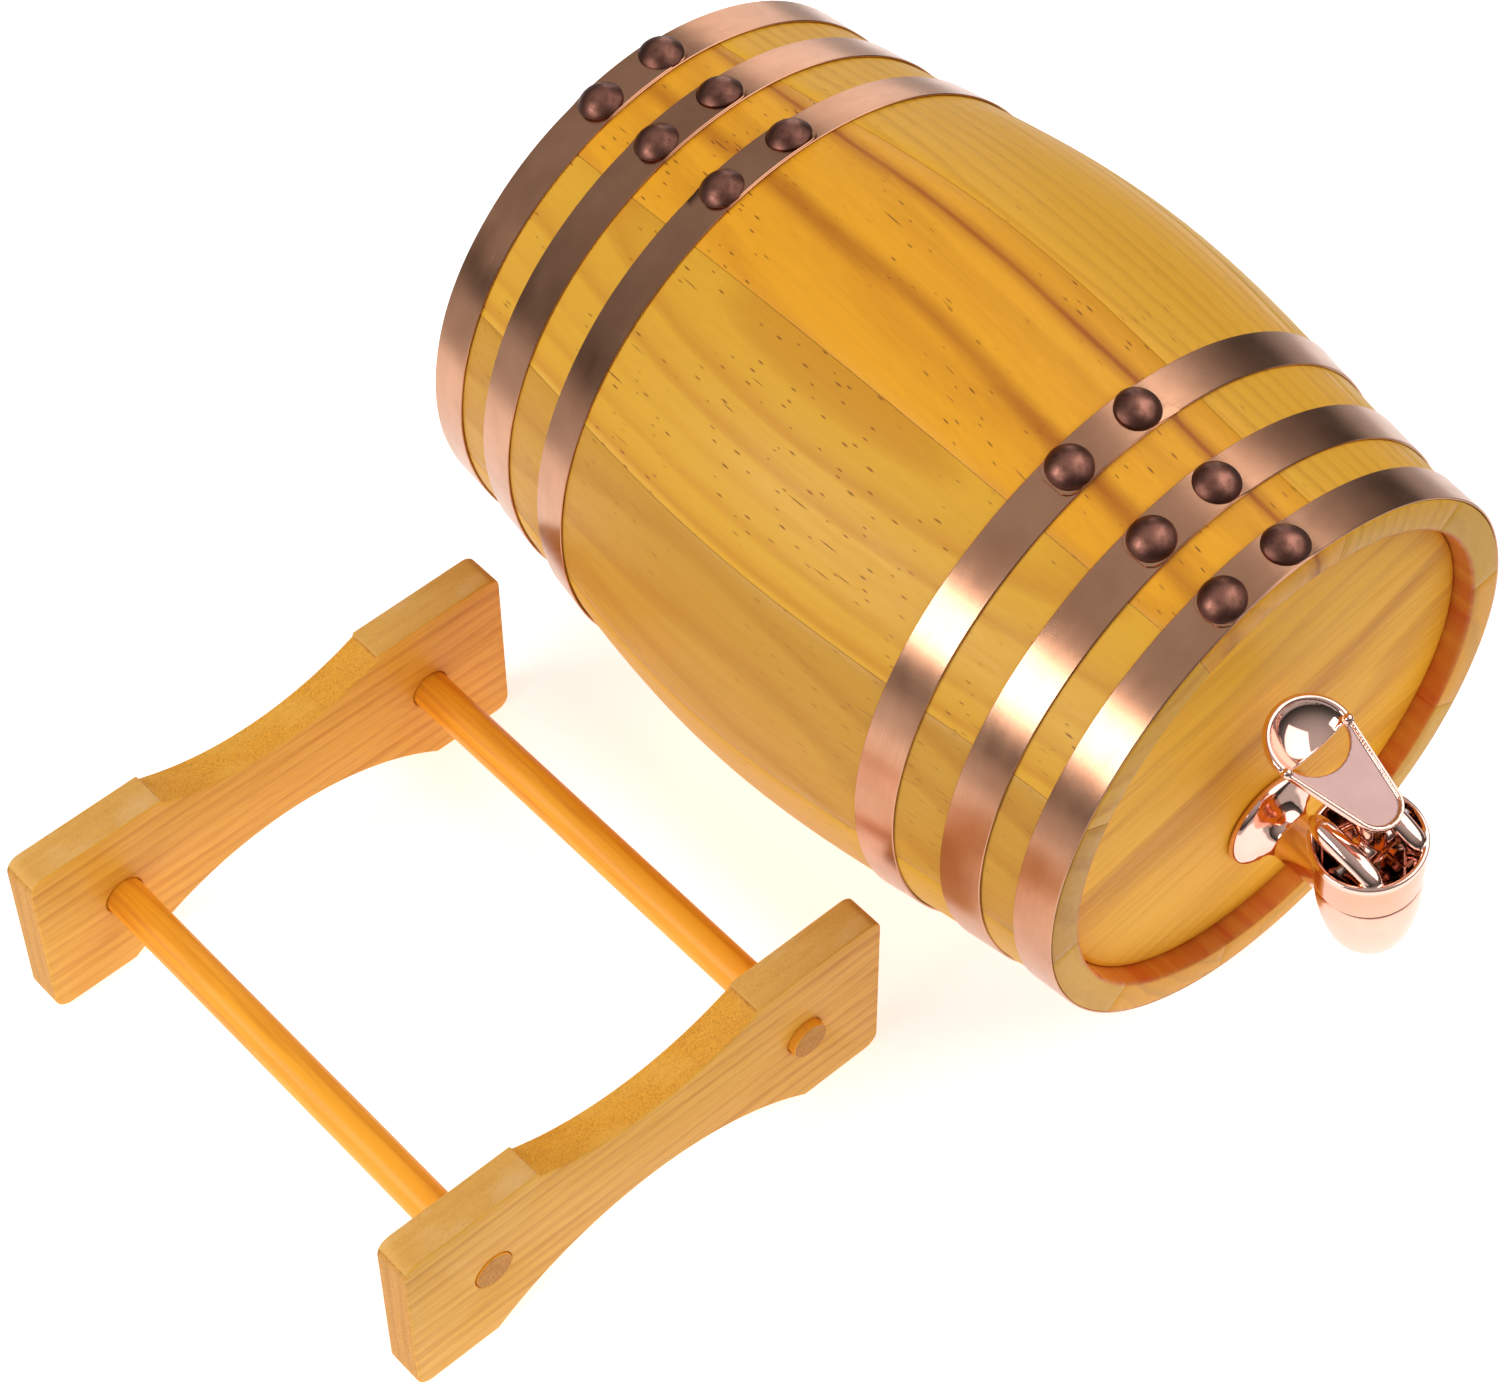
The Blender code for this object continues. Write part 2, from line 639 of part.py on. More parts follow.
def tap_inside(tap):
    """Lever pin, valve stem with its silicone seat cup, and the washers and nut on the shank."""
    across = Matrix.Translation(PIVOT) @ Matrix.Rotation(math.radians(90), 4, "Y")
    pin = cylinder_mesh("lever_pin", PIN_RADIUS, -EAR_OUTER, EAR_OUTER, 12)
    new_object("lever_pin", pin, "steel", tap, across)
    axis = Matrix.Translation((0, -TAP_REACH, 0))
    seat = SEAT_HEIGHT + GAP
    stem_profile = [
        (0, STEM_TOP_HEIGHT),
        (STEM_HEAD_RADIUS, STEM_TOP_HEIGHT),
        (STEM_HEAD_RADIUS, CUP_FLOOR_HEIGHT + GAP),
        (STEM_RADIUS, CUP_FLOOR_HEIGHT + GAP),
        (STEM_RADIUS, seat + 0.0020),
        (0, seat + 0.0020),
    ]
    turned("valve_stem", stem_profile, "steel", tap, axis, 16)
    cup_profile = [
        (STEM_RADIUS + GAP, seat + 0.0085),
        (STEM_RADIUS + 0.0016, seat + 0.0085),
        (STEM_RADIUS + 0.0020, seat + 0.0045),
        (SEAT_CUP_RADIUS, seat + 0.0026),
        (SEAT_CUP_RADIUS, seat),
        (0, seat),
        (0, seat + 0.0017),
        (STEM_RADIUS + GAP, seat + 0.0017),
    ]
    seat_cup = turned_mesh("seat_cup", closed_on_axis(cup_profile), 20)
    new_object("seat_cup", seat_cup, "silicone", tap, axis)
    forward = Matrix.Rotation(math.radians(90), 4, "X")
    bore = SHANK_RADIUS + 0.0002
    inside = -HEAD_THICKNESS
    washers = (
        ("outer_washer", "silicone", GAP, GAP + WASHER_THICKNESS),
        ("inner_washer", "silicone", inside - GAP - WASHER_THICKNESS, inside - GAP),
    )
    for name, slot, low, high in washers:
        turned(name, ring_profile(WASHER_RADIUS, bore, low, high), slot, tap, forward, 24)
    high = inside - 2 * GAP - WASHER_THICKNESS
    profile = ring_profile(NUT_RADIUS, bore, high - NUT_THICKNESS, high)
    turned("shank_nut", profile, "rose_plating", tap, forward, 6 * 2)


def closed_on_axis(profile):
    """Starts a profile where it leaves the axis, so that its two axis points are its ends."""
    first = next(i for i, (radius, _) in enumerate(profile) if radius == 0)
    return profile[first + 1 :] + profile[: first + 1]


def ring_profile(outer, inner, low, high):
    return [(outer, high), (outer, low), (inner, low), (inner, high)]


def make_tap(barrel):
    face = BARREL_HALF_LENGTH - HEAD_RECESS
    tap = empty("tap_frame", barrel, Matrix.Translation((0, -face, -TAP_BELOW_AXIS)))
    tap_body(tap)
    tap_bonnet(tap)
    tap_lever(tap)
    tap_inside(tap)


def board_outline():
    """The stand board's outline in local X (across) and Y (up): a saddle above, an arch below."""
    corner = BOARD_CORNER_RADIUS
    half = BOARD_HALF_LENGTH
    top = BOARD_HEIGHT
    quarter = math.pi / 2
    shoulder = top - SADDLE_SHOULDER
    saddle_rise = shoulder - SADDLE_LOW_HEIGHT
    saddle = chord_arc(SADDLE_HALF_CHORD, saddle_rise, SADDLE_LOW_HEIGHT, False)
    arch = chord_arc(ARCH_HALF_CHORD, ARCH_HEIGHT, 0, True)
    return [
        *arc((half - corner, corner), corner, -quarter, 0, 4),
        *arc((half - corner, top - corner), corner, 0, quarter, 4),
        (SADDLE_HALF_CHORD, top),
        *saddle,
        (-SADDLE_HALF_CHORD, top),
        *arc((corner - half, top - corner), corner, quarter, 2 * quarter, 4),
        *arc((corner - half, corner), corner, 2 * quarter, 3 * quarter, 4),
        *arch,
    ]


def chord_arc(half_chord, rise, base, arched):
    """An arc across a chord: hanging down from right to left, or arched up from left to right."""
    radius = (half_chord**2 + rise**2) / (2 * rise)
    spread = math.asin(half_chord / radius)
    quarter = math.pi / 2
    if arched:
        return arc((0, base + rise - radius), radius, quarter + spread, quarter - spread, 14)
    return arc((0, base + radius), radius, spread - quarter, -spread - quarter, 12)


def make_stand():
    stand = empty("stand", None, Matrix.Translation((STAND_X, BARREL_Y, 0)))
    upright = Matrix.Rotation(math.radians(90), 4, "X")
    half = BOARD_THICKNESS / 2
    for name, front in (
        ("front_board", FRONT_BOARD_FROM_BARREL),
        ("rear_board", REAR_BOARD_FROM_BARREL),
    ):
        place = Matrix.Translation((0, front + half, 0)) @ upright
        board = outline_solid(name, board_outline(), BOARD_THICKNESS, "stand_wood", stand, place)
        for side in (-1, 1):
            spot = Matrix.Translation((side * DOWEL_SPACING / 2, front + half, DOWEL_HEIGHT))
            radius = DOWEL_RADIUS + DOWEL_HOLE_GAP
            hole = cylinder_mesh("dowel_hole", radius, -0.02, 0.02, 20)
            boolean(board, cutter(new_object("dowel_hole", hole, "stand_wood", stand, spot @ upright)))
        bevel(board, 0.0005, 1, 60)
    rear = REAR_BOARD_FROM_BARREL + BOARD_THICKNESS
    for name, side, proud in (("left_dowel", -1, DOWEL_PROUD[0]), ("right_dowel", 1, DOWEL_PROUD[1])):
        front = FRONT_BOARD_FROM_BARREL - proud
        mesh = cylinder_mesh(name, DOWEL_RADIUS, front, rear - 0.0003, 20)
        place = Matrix.Translation((side * DOWEL_SPACING / 2, 0, DOWEL_HEIGHT)) @ FACING_Y
        new_object(name, mesh, "dowel_wood", stand, place)


def make_barrel():
    place = Matrix.Translation((BARREL_X, BARREL_Y, BILGE_RADIUS)) @ Matrix.Rotation(-ROLL, 4, "Y")
    barrel = empty("barrel_axis", None, place)
    make_staves(barrel)
    make_heads(barrel)
    bands = list(HOOP_BANDS) + [(-high, -low) for low, high in reversed(HOOP_BANDS)]
    for index, band in enumerate(bands, 1):
        make_hoop(barrel, index, band)
    make_bung(barrel)
    make_tap(barrel)


clear_scene()
PARTS = new_collection("oak_wine_barrel")
CUTTERS = new_collection("cutters")
make_barrel()
make_stand()
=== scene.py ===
"""Looks for a small lacquered wine barrel with copper-coloured hoops, a lever tap and a cradle stand."""

import random
from math import asin, atan, atan2, cos, degrees, hypot, pi, radians, sin, sqrt

import bmesh
import bpy
from mathutils import Matrix, Vector


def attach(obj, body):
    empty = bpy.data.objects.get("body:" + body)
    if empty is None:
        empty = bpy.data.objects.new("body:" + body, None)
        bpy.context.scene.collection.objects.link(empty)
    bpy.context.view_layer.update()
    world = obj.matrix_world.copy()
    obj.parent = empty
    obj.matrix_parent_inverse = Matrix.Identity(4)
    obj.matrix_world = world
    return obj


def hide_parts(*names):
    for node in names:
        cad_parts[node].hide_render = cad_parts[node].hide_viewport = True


# The barrel and its heads: the same sizes as the frame's, in metres and degrees
BILGE_RADIUS = 0.0875
CHIME_RATIO = 0.85
HALF_WAVE = 1.434
HALF_LENGTH = 0.1117
STAVES = 10
SEAM_TO_JOINT = radians(-17.8)
CHIME_INNER = 0.0661
STAVE_THICKNESS = 0.0095
HEAD_FACE = 0.1060
HEAD_THICKNESS = 0.0090
HEAD_RADIUS = 0.0658
HEAD_TONGUE_RADIUS = 0.0687
HEAD_GROOVE_RADIUS = 0.0690
SHANK_HOLE_RADIUS = 0.0067
BUNG_HOLE_RADIUS = 0.0092
BUNG_HEIGHT = 0.0360
ROLL = 9.5
BARREL_X, BARREL_Y = 0.07145, 0.0213

# Each hoop's two edges along the barrel's axis, from the tapped end to the far end
HOOP_THICKNESS = 0.0006
HOOP_OFFSET = 0.00022
FAR_HOOPS = ((0.0533, 0.0645), (0.0783, 0.0899), (0.1000, 0.1114))
HOOPS = (*((-high, -low) for low, high in reversed(FAR_HOOPS)), *FAR_HOOPS)
RIVET_ANGLE = 7.5
RIVET_RADIUS = 0.0057
RIVET_HEIGHT = 0.0029

# The tap: its shank's height below the head's centre, and its cup's axis in front of the head
TAP_DROP = 0.0316
TAP_REACH = 0.0340
TAP_BODY_TOP = 0.01475
PIVOT = Vector((0.0, -0.0350, 0.0290))
PIN_HOLE_RADIUS = 0.00145

# The stand: two boards across Y, given by their front faces, and two dowels along Y
STAND_X = -0.08555
BOARDS = {"front_board": -0.0643, "rear_board": 0.0794}
BOARD_THICKNESS = 0.0105
DOWEL_X, DOWEL_Z = 0.0488, 0.0269
DOWEL_RADIUS = 0.0052
DOWEL_HOLE_RADIUS = 0.00535

QUARTER = radians(90)


def shifted(x, y, z):
    return Matrix.Translation((x, y, z))


def turned(angle, axis):
    return Matrix.Rotation(radians(angle), 4, axis)


BARREL = shifted(BARREL_X, BARREL_Y, BILGE_RADIUS) @ turned(-ROLL, "Y")
TAP = BARREL @ shifted(0, -HEAD_FACE, -TAP_DROP)
CUP_AXIS = shifted(0, -TAP_REACH, 0)
STAND = shifted(STAND_X, BARREL_Y, 0)


# ---------------- materials


def rgb(red, green, blue):
    """A colour given as screen values from 0 to 255, as the linear values that shaders take."""
    return (*(((v / 255 + 0.055) / 1.055) ** 2.4 if v > 10 else v / 3294 for v in (red, green, blue)), 1.0)


def set_ramp(ramp, stops):
    """Gives a colour ramp these (position, grey) stops."""
    while len(ramp.elements) < len(stops):
        ramp.elements.new(0.5)
    for element, (position, grey) in zip(ramp.elements, stops):
        element.position = position
        element.color = (grey, grey, grey, 1)


class Nodes:
    """One material, with short calls that add its nodes."""

    def __init__(self, name):
        self.material = bpy.data.materials.new(name)
        self.material.use_nodes = True
        self.tree = self.material.node_tree
        self.shader = self.tree.nodes["Principled BSDF"]

    def put(self, socket, value):
        if isinstance(value, bpy.types.NodeSocket):
            self.tree.links.new(value, socket)
        else:
            socket.default_value = value

    def add(self, kind, inputs, **settings):
        made = self.tree.nodes.new(kind)
        for key, value in settings.items():
            setattr(made, key, value)
        for key, value in inputs.items():
            self.put(made.inputs[key], value)
        return made

    def set(self, **inputs):
        for key, value in inputs.items():
            self.put(self.shader.inputs[key.replace("_", " ")], value)

    def coords(self):
        return self.add("ShaderNodeTexCoord", {}).outputs["Object"]

    def mapping(self, vector, location=(0, 0, 0), rotation=(0, 0, 0), scale=(1, 1, 1)):
        inputs = {"Vector": vector, "Location": location, "Rotation": rotation, "Scale": scale}
        return self.add("ShaderNodeMapping", inputs).outputs[0]

    def split(self, vector):
        return self.add("ShaderNodeSeparateXYZ", {0: vector}).outputs

    def join(self, x, y, z):
        return self.add("ShaderNodeCombineXYZ", {0: x, 1: y, 2: z}).outputs[0]

    def times(self, a, b):
        return self.math("MULTIPLY", a, b)

    def sway(self, value, amount, base, middle=0.5, clamp=False):
        """base plus amount times how far a noise value is from its middle."""
        return self.math("MULTIPLY_ADD", self.math("SUBTRACT", value, middle), amount, base, clamp)

    def math(self, operation, a, b=0.0, c=0.0, clamp=False):
        made = self.add("ShaderNodeMath", {0: a, 1: b, 2: c}, operation=operation, use_clamp=clamp)
        return made.outputs[0]

    def length(self, vector):
        return self.add("ShaderNodeVectorMath", {0: vector}, operation="LENGTH").outputs["Value"]

    def fit(self, value, low, high, to_low=0.0, to_high=1.0, smooth=False):
        inputs = {"Value": value, 1: low, 2: high, 3: to_low, 4: to_high}
        kind = "SMOOTHSTEP" if smooth else "LINEAR"
        return self.add("ShaderNodeMapRange", inputs, interpolation_type=kind).outputs[0]

    def noise(self, vector, scale, detail=2.0, rough=0.5):
        inputs = {"Vector": vector, "Scale": scale, "Detail": detail, "Roughness": rough}
        return self.add("ShaderNodeTexNoise", inputs).outputs[0]

    def cells(self, vector, scale):
        """Flat cells over X and Y."""
        inputs = {"Vector": vector, "Scale": scale}
        return self.add("ShaderNodeTexVoronoi", inputs, voronoi_dimensions="2D").outputs

    def mix(self, factor, a, b):
        made = self.add("ShaderNodeMix", {}, data_type="RGBA")
        for index, value in ((0, factor), (6, a), (7, b)):
            self.put(made.inputs[index], value)
        return made.outputs[2]

    def curve(self, value, stops):
        made = self.add("ShaderNodeValToRGB", {0: value})
        set_ramp(made.color_ramp, stops)
        return made.outputs[0]

    def bump(self, height, strength, distance):
        inputs = {"Height": height, "Strength": strength, "Distance": distance}
        self.put(self.shader.inputs["Normal"], self.add("ShaderNodeBump", inputs).outputs[0])


def wood(
    name, light, dark, seed, turn=(0, 0, 0), slant=0.0, pith=(0.02, -0.07), spacing=0.010, contrast=0.55,
    wander=0.012, fibre=0.35, patches=0.35, dashes=0.0, roughness=0.50, coat=0.06, stave=False, speckle=0.0,
    heart=0.0, streaks=(),
):
    """Lacquered wood. After turn the grain runs along Y, and Z points out of the piece's main face.

    pith is where the tree's centre line lies beside the piece, slant is in degrees, spacing is a year's
    growth and wander how far the rings stray. heart is the radius of a dark inner zone. Each streak is
    (place across at Y = 0, lean, half width, strength).
    """
    n = Nodes(name)
    rng = random.Random(seed)
    own = n.coords()
    grain = n.mapping(own, rotation=turn)
    shift = [rng.uniform(-2, 2) for _ in range(3)]
    # p runs along the slanted grain, and q is p moved, so that no two boards have the same noise
    p = n.mapping(grain, rotation=(0, 0, radians(slant)))
    q = n.mapping(p, location=shift)
    warp = n.noise(n.mapping(q, scale=(1, 0.22, 1)), 26, 2.5, 0.5)
    across = n.mapping(p, location=(-pith[0], 0, -pith[1]), scale=(1, 0.0, 1))
    radius = n.sway(warp, wander * 2, n.length(across))
    phase = n.math("DIVIDE", radius, spacing)
    ring = n.math("FRACT", phase)
    year = n.add("ShaderNodeTexWhiteNoise", {"W": n.math("FLOOR", phase)}, noise_dimensions="1D").outputs[0]
    band = n.curve(ring, ((0.0, 0.05), (0.45, 0.22), (0.80, 0.95), (0.93, 0.55), (1.0, 0.05)))
    band = n.times(band, n.math("MULTIPLY_ADD", year, 0.7, 0.3))
    threads = n.noise(n.mapping(q, scale=(1, 0.022, 1)), 620, 4.0, 0.6)
    hairs = n.noise(n.mapping(q, scale=(1, 0.03, 1)), 2100, 2.0, 0.5)
    broad = n.noise(n.mapping(q, scale=(1, 0.25, 1)), 34, 2.0)
    amount = n.times(band, contrast)
    amount = n.sway(threads, fibre, amount)
    amount = n.sway(hairs, fibre * 0.5, amount)
    amount = n.sway(broad, patches, amount, 0.45, clamp=True)
    x, y, z = n.split(grain)
    if heart:
        amount = n.math("ADD", amount, n.fit(radius, heart - 0.0030, heart + 0.0004, 0.42, 0.0), clamp=True)
    for offset, lean, half, strength in streaks:
        line = n.sway(warp, 0.010, n.math("MULTIPLY_ADD", y, lean, offset))
        off = n.math("ABSOLUTE", n.math("SUBTRACT", x, line))
        uneven = n.fit(broad, 0.25, 0.6, 0.65, 1.1)
        fade = n.times(n.fit(off, 0.0, half, strength, 0.0, True), uneven)
        amount = n.math("ADD", amount, fade, clamp=True)
    colour = n.mix(amount, light, dark)
    height = n.times(threads, 0.45)
    if dashes:
        cluster = n.fit(n.noise(n.mapping(q, scale=(1, 0.6, 1)), 40, 2.0), 0.42, 0.56, 0.0, 1.0, True)
        if stave:
            inside_ends = n.fit(n.math("ABSOLUTE", y), HALF_LENGTH - 0.0022, HALF_LENGTH - 0.0009, 1.0, 0.0)
            cluster = n.times(cluster, inside_ends)
        colour, height = resin_dashes(n, p, shift[1], cluster, dashes, dark, colour, height)
    if speckle:
        colour, height = sawn_face(n, own, p, speckle, light, dark, colour, height)
    if stave:
        side = n.math("ABSOLUTE", n.math("ARCTAN2", x, z))
        colour = stave_edges(n, own, side, dark, colour)
    n.set(Base_Color=colour, Roughness=n.fit(threads, 0.3, 0.7, roughness - 0.06, roughness + 0.08))
    n.set(Coat_Weight=coat, Coat_Roughness=0.25, Specular_IOR_Level=0.3)
    n.bump(height, 0.35, 0.00025)
    return n.material


def shaded(colour, red, green, blue):
    """A colour with each channel scaled."""
    return (colour[0] * red, colour[1] * green, colour[2] * blue, 1)


def resin_dashes(n, p, shift, cluster, strength, dark, colour, height):
    """Short dark dashes along the grain: first many small ones, then fewer long thin ones."""
    deep = (dark[0] * 0.38, dark[1] * 0.22, dark[2] * 0.2 + 0.002, 1)
    for scale, along, radius, left_out in ((430, 0.22, 0.110, 0.30), (300, 0.06, 0.060, 0.50)):
        outputs = n.cells(n.mapping(p, location=(scale, shift, 0), scale=(1, along, 1)), scale)
        red, green, _ = n.split(outputs["Color"])
        near = n.math("DIVIDE", outputs["Distance"], n.math("MULTIPLY_ADD", green, 0.8, 0.55))
        mark = n.fit(near, radius * 0.4, radius, 1.0, 0.0)
        mark = n.times(n.times(mark, n.math("GREATER_THAN", red, left_out)), cluster)
        colour = n.mix(n.times(mark, strength), colour, deep)
        height = n.math("MULTIPLY_ADD", mark, -0.7, height)
    return colour, height


def sawn_face(n, own, p, speckle, light, dark, colour, height):
    """Open pores and pale scuffs of a face that is sawn and not planed."""
    spots = n.fit(n.noise(own, 2300, 3.0, 0.7), 0.48, 0.70, 0.0, 1.0)
    colour = n.mix(n.times(spots, speckle), colour, shaded(dark, 0.5, 0.35, 0.3))
    pale = n.fit(n.noise(n.mapping(p, scale=(1, 0.35, 1)), 130, 4.0, 0.65), 0.50, 0.70, 0.0, 0.55)
    colour = n.mix(pale, colour, shaded(light, 1.05, 1.25, 2.4))
    return colour, n.math("MULTIPLY_ADD", spots, -1.0, height)


def stave_edges(n, own, side, dark, colour):
    """Darkens a stave beside its joints, and paints the wall in front of the head a deep orange, which is
    painted bounce light from the wood round it.
    """
    edge = pi / STAVES
    seam = n.fit(side, edge - 0.0030, edge - 0.0008, 0.0, 0.14)
    colour = n.mix(seam, colour, shaded(dark, 0.4, 0.25, 0.2))
    # Painted bounce light: the wall in front of the head gets a deep orange that stands for light bounced
    # between the wood faces there.
    from_axis = n.length(n.mapping(own, scale=(1, 0, 1)))
    inner = n.fit(from_axis, CHIME_INNER + 0.0004, CHIME_INNER + 0.0011, 1.0, 0.0)
    runs = n.fit(n.noise(n.mapping(own, scale=(1, 0.1, 1)), 210, 3.0), 0.35, 0.7)
    painted_bounce = n.mix(runs, rgb(204, 84, 2), rgb(222, 138, 36))
    return n.mix(n.times(inner, 0.9), colour, painted_bounce)


def copper(name, clean, dull, roughness, lines=1.0):
    """Rolled and brushed band metal. The brush marks run round the barrel's axis, which is the object's Y."""
    n = Nodes(name)
    own = n.coords()
    x, y, z = n.split(own)
    angle = n.times(n.math("ARCTAN2", x, z), BILGE_RADIUS)
    strip = n.join(angle, y, 0.0)
    brush = n.noise(n.mapping(strip, scale=(0.012, 1, 1)), 3200, 3.0, 0.6)
    cloud = n.noise(own, 55, 3.0, 0.6)
    smear = n.noise(n.mapping(strip, scale=(0.3, 1, 1)), 160, 2.0)
    worn = n.sway(cloud, 1.6, 0.45, clamp=True)
    colour = n.mix(worn, clean, dull)
    colour = n.mix(n.fit(brush, 0.35, 0.7, 0.0, 0.25 * lines), colour, dull)
    scratch = n.cells(n.mapping(strip, rotation=(0, 0, 0.5), scale=(1, 0.05, 1)), 90)
    nick = n.times(n.fit(scratch["Distance"], 0.004, 0.010, 1.0, 0.0), n.fit(cloud, 0.5, 0.6))
    colour = n.mix(n.times(nick, 0.5), colour, (0.95, 0.75, 0.62, 1))
    n.set(Base_Color=colour, Metallic=1.0)
    n.set(Roughness=n.sway(brush, 0.10, n.sway(smear, 0.12, roughness)))
    height = n.math("MULTIPLY_ADD", nick, -0.6, brush)
    n.bump(height, 0.18 * lines, 0.00006)
    return n.material


def rivet_metal(name):
    """Dark antique copper with a painted highlight: lighter on top of each dome and darker towards its rim. Z
    points out of the rivet.
    """
    n = Nodes(name)
    own = n.coords()
    around = n.length(n.mapping(own, scale=(1, 1, 0)))
    cloud = n.noise(own, 480, 3.0, 0.65)
    # Painted highlight: the colour is lighter on top of the dome and darkens towards the rim.
    painted_highlight = n.fit(n.sway(cloud, 0.004, around), 0.0008, 0.0046, 1.0, 0.0)
    colour = n.mix(painted_highlight, rgb(106, 70, 60), rgb(164, 112, 96))
    colour = n.mix(n.fit(cloud, 0.45, 0.7, 0.0, 0.40), colour, rgb(80, 50, 42))
    n.set(Base_Color=colour, Metallic=1.0)
    n.set(Roughness=n.fit(cloud, 0.3, 0.7, 0.34, 0.48))
    n.bump(n.noise(own, 900, 2.0), 0.25, 0.00008)
    return n.material


def plating(name, colour, second, roughness):
    """Smooth plated metal whose colour drifts a little between two shades."""
    n = Nodes(name)
    own = n.coords()
    cloud = n.noise(own, 140, 2.0, 0.5)
    n.set(Base_Color=n.mix(n.fit(cloud, 0.3, 0.7), colour, second), Metallic=1.0)
    fine = n.noise(own, 2600, 2.0, 0.6)
    n.set(Roughness=n.sway(fine, roughness * 0.5, roughness))
    n.bump(n.math("MULTIPLY_ADD", fine, 0.25, cloud), 0.05, 0.0001)
    return n.material


def plain(name, colour, second, roughness, metallic=0.0):
    """Turned steel or moulded silicone: a faintly cloudy colour and a fine grain."""
    n = Nodes(name)
    own = n.coords()
    cloud = n.noise(own, 300, 3.0, 0.6)
    n.set(Base_Color=n.mix(n.fit(cloud, 0.3, 0.7), colour, second), Metallic=metallic)
    n.set(Roughness=n.fit(cloud, 0.3, 0.7, roughness - 0.05, roughness + 0.05))
    n.bump(n.noise(own, 1800, 2.0), 0.1, 0.0001)
    return n.material


# wood()'s settings for the staves whose boards show the most figure
FIGURED_STAVES = {
    0: dict(
        light=rgb(238, 166, 32), dark=rgb(172, 92, 8), pith=(-0.09, 0.0), slant=5, spacing=0.0135,
        contrast=0.35, dashes=0.75, patches=0.25,
        streaks=((0.0176, 0.045, 0.0042, 0.55), (0.0176, 0.045, 0.0012, 0.35), (-0.0049, 0.07, 0.0050, 0.55)),
    ),
    1: dict(
        light=rgb(232, 170, 44), dark=rgb(184, 116, 16), pith=(-0.04, 0.06), slant=2, spacing=0.0042,
        contrast=0.4, wander=0.004, dashes=0.3,
    ),
    8: dict(
        light=rgb(206, 150, 48), dark=rgb(178, 114, 26), pith=(0.06, 0.01), slant=3, spacing=0.011,
        contrast=0.6, dashes=0.35,
    ),
    9: dict(
        light=rgb(226, 168, 46), dark=rgb(196, 124, 24), pith=(0.027, 0.0958), spacing=0.0077,
        contrast=0.6, wander=0.002, dashes=0.85, heart=0.0154, patches=0.2,
    ),
}


def plain_stave(index):
    """wood()'s settings for a stave with no special figure."""
    rng = random.Random(100 + index)
    return dict(
        light=[rgb(222, 166, 50), rgb(230, 162, 40), rgb(236, 164, 34)][rng.randrange(3)],
        dark=[rgb(184, 112, 22), rgb(196, 138, 50)][rng.randrange(2)],
        pith=(rng.uniform(-0.03, 0.03), rng.uniform(-0.05, -0.02)),
        slant=rng.uniform(-4, 4),
        spacing=rng.uniform(0.006, 0.011),
        contrast=rng.uniform(0.35, 0.6),
        dashes=rng.uniform(0.3, 0.8),
    )


def stave_woods():
    """One material for each stave: every stave is cut from a different board."""
    out = []
    for index in range(STAVES):
        settings = FIGURED_STAVES.get(index) or plain_stave(index)
        middle = SEAM_TO_JOINT + (index + 0.5) * 2 * pi / STAVES
        name = f"stave_wood_{index + 1:02d}"
        out.append(wood(name, seed=index, turn=(0, -middle, 0), stave=True, **settings))
    return out


# ---------------- mesh helpers


def new_mesh(name, verts, faces, sharp=35):
    """A mesh with outward faces, smooth up to the sharp angle in degrees."""
    mesh = bpy.data.meshes.new(name)
    mesh.from_pydata(verts, [], faces)
    finish_mesh(mesh, sharp)
    return mesh


def finish_mesh(mesh, sharp=35):
    """Turns every face outward and marks the edges that are sharper than the angle in degrees."""
    bm = bmesh.new()
    bm.from_mesh(mesh)
    bmesh.ops.recalc_face_normals(bm, faces=bm.faces)
    bm.to_mesh(mesh)
    bm.free()
    mesh.shade_smooth()
    mesh.set_sharp_from_angle(angle=radians(sharp))


def placed(name, data):
    """A new object in the scene for a mesh, a light or a camera."""
    made = bpy.data.objects.new(name, data)
    bpy.context.scene.collection.objects.link(made)
    return made


def piece(node, mesh, matrix, body, slot, *materials):
    """Adds the visible piece that stands for a frame node and moves with its body."""
    made = placed("fine_" + node, mesh)
    made.matrix_world = matrix
    mesh.materials.clear()
    for item in materials:
        mesh.materials.append(item)
    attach(made, body)
    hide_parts(node)


def skin(name, loops, sharp=35):
    """A solid through closed loops of equal length, with a cap at each end."""
    size = len(loops[0])
    verts = [point for loop in loops for point in loop]
    faces = []
    count = len(loops)
    for i in range(count - 1):
        a, b = i * size, (i + 1) * size
        for j in range(size):
            k = (j + 1) % size
            faces.append((a + j, a + k, b + k, b + j))
    faces.append(tuple(range(size)))
    faces.append(tuple(range((count - 1) * size, count * size)))
    return new_mesh(name, verts, faces, sharp)


def swell(fade):
    """How full a rounded end is, from 0 at its tip to 1 where fade is 1."""
    return sqrt(max(0.0, 1 - (1 - fade) ** 2))


def lathe(name, profile, steps, sharp=35):
    """Turns (radius, height) points about Z. A profile that starts or ends on the axis closes there."""
    verts, faces, rows = [], [], []
    for radius, height in profile:
        if radius < 1e-7:
            rows.append([len(verts)])
            verts.append((0, 0, height))
        else:
            rows.append(list(range(len(verts), len(verts) + steps)))
            for i in range(steps):
                a = 2 * pi * i / steps
                verts.append((radius * cos(a), radius * sin(a), height))
    pairs = list(zip(rows, rows[1:]))
    if len(rows[0]) > 1 or len(rows[-1]) > 1:
        pairs.append((rows[-1], rows[0]))
    for a, b in pairs:
        for i in range(steps):
            j = (i + 1) % steps
            if len(a) == 1 and len(b) == 1:
                continue
            if len(a) == 1:
                faces.append((a[0], b[i], b[j]))
            elif len(b) == 1:
                faces.append((a[i], a[j], b[0]))
            else:
                faces.append((a[i], a[j], b[j], b[i]))
    return new_mesh(name, verts, faces, sharp)


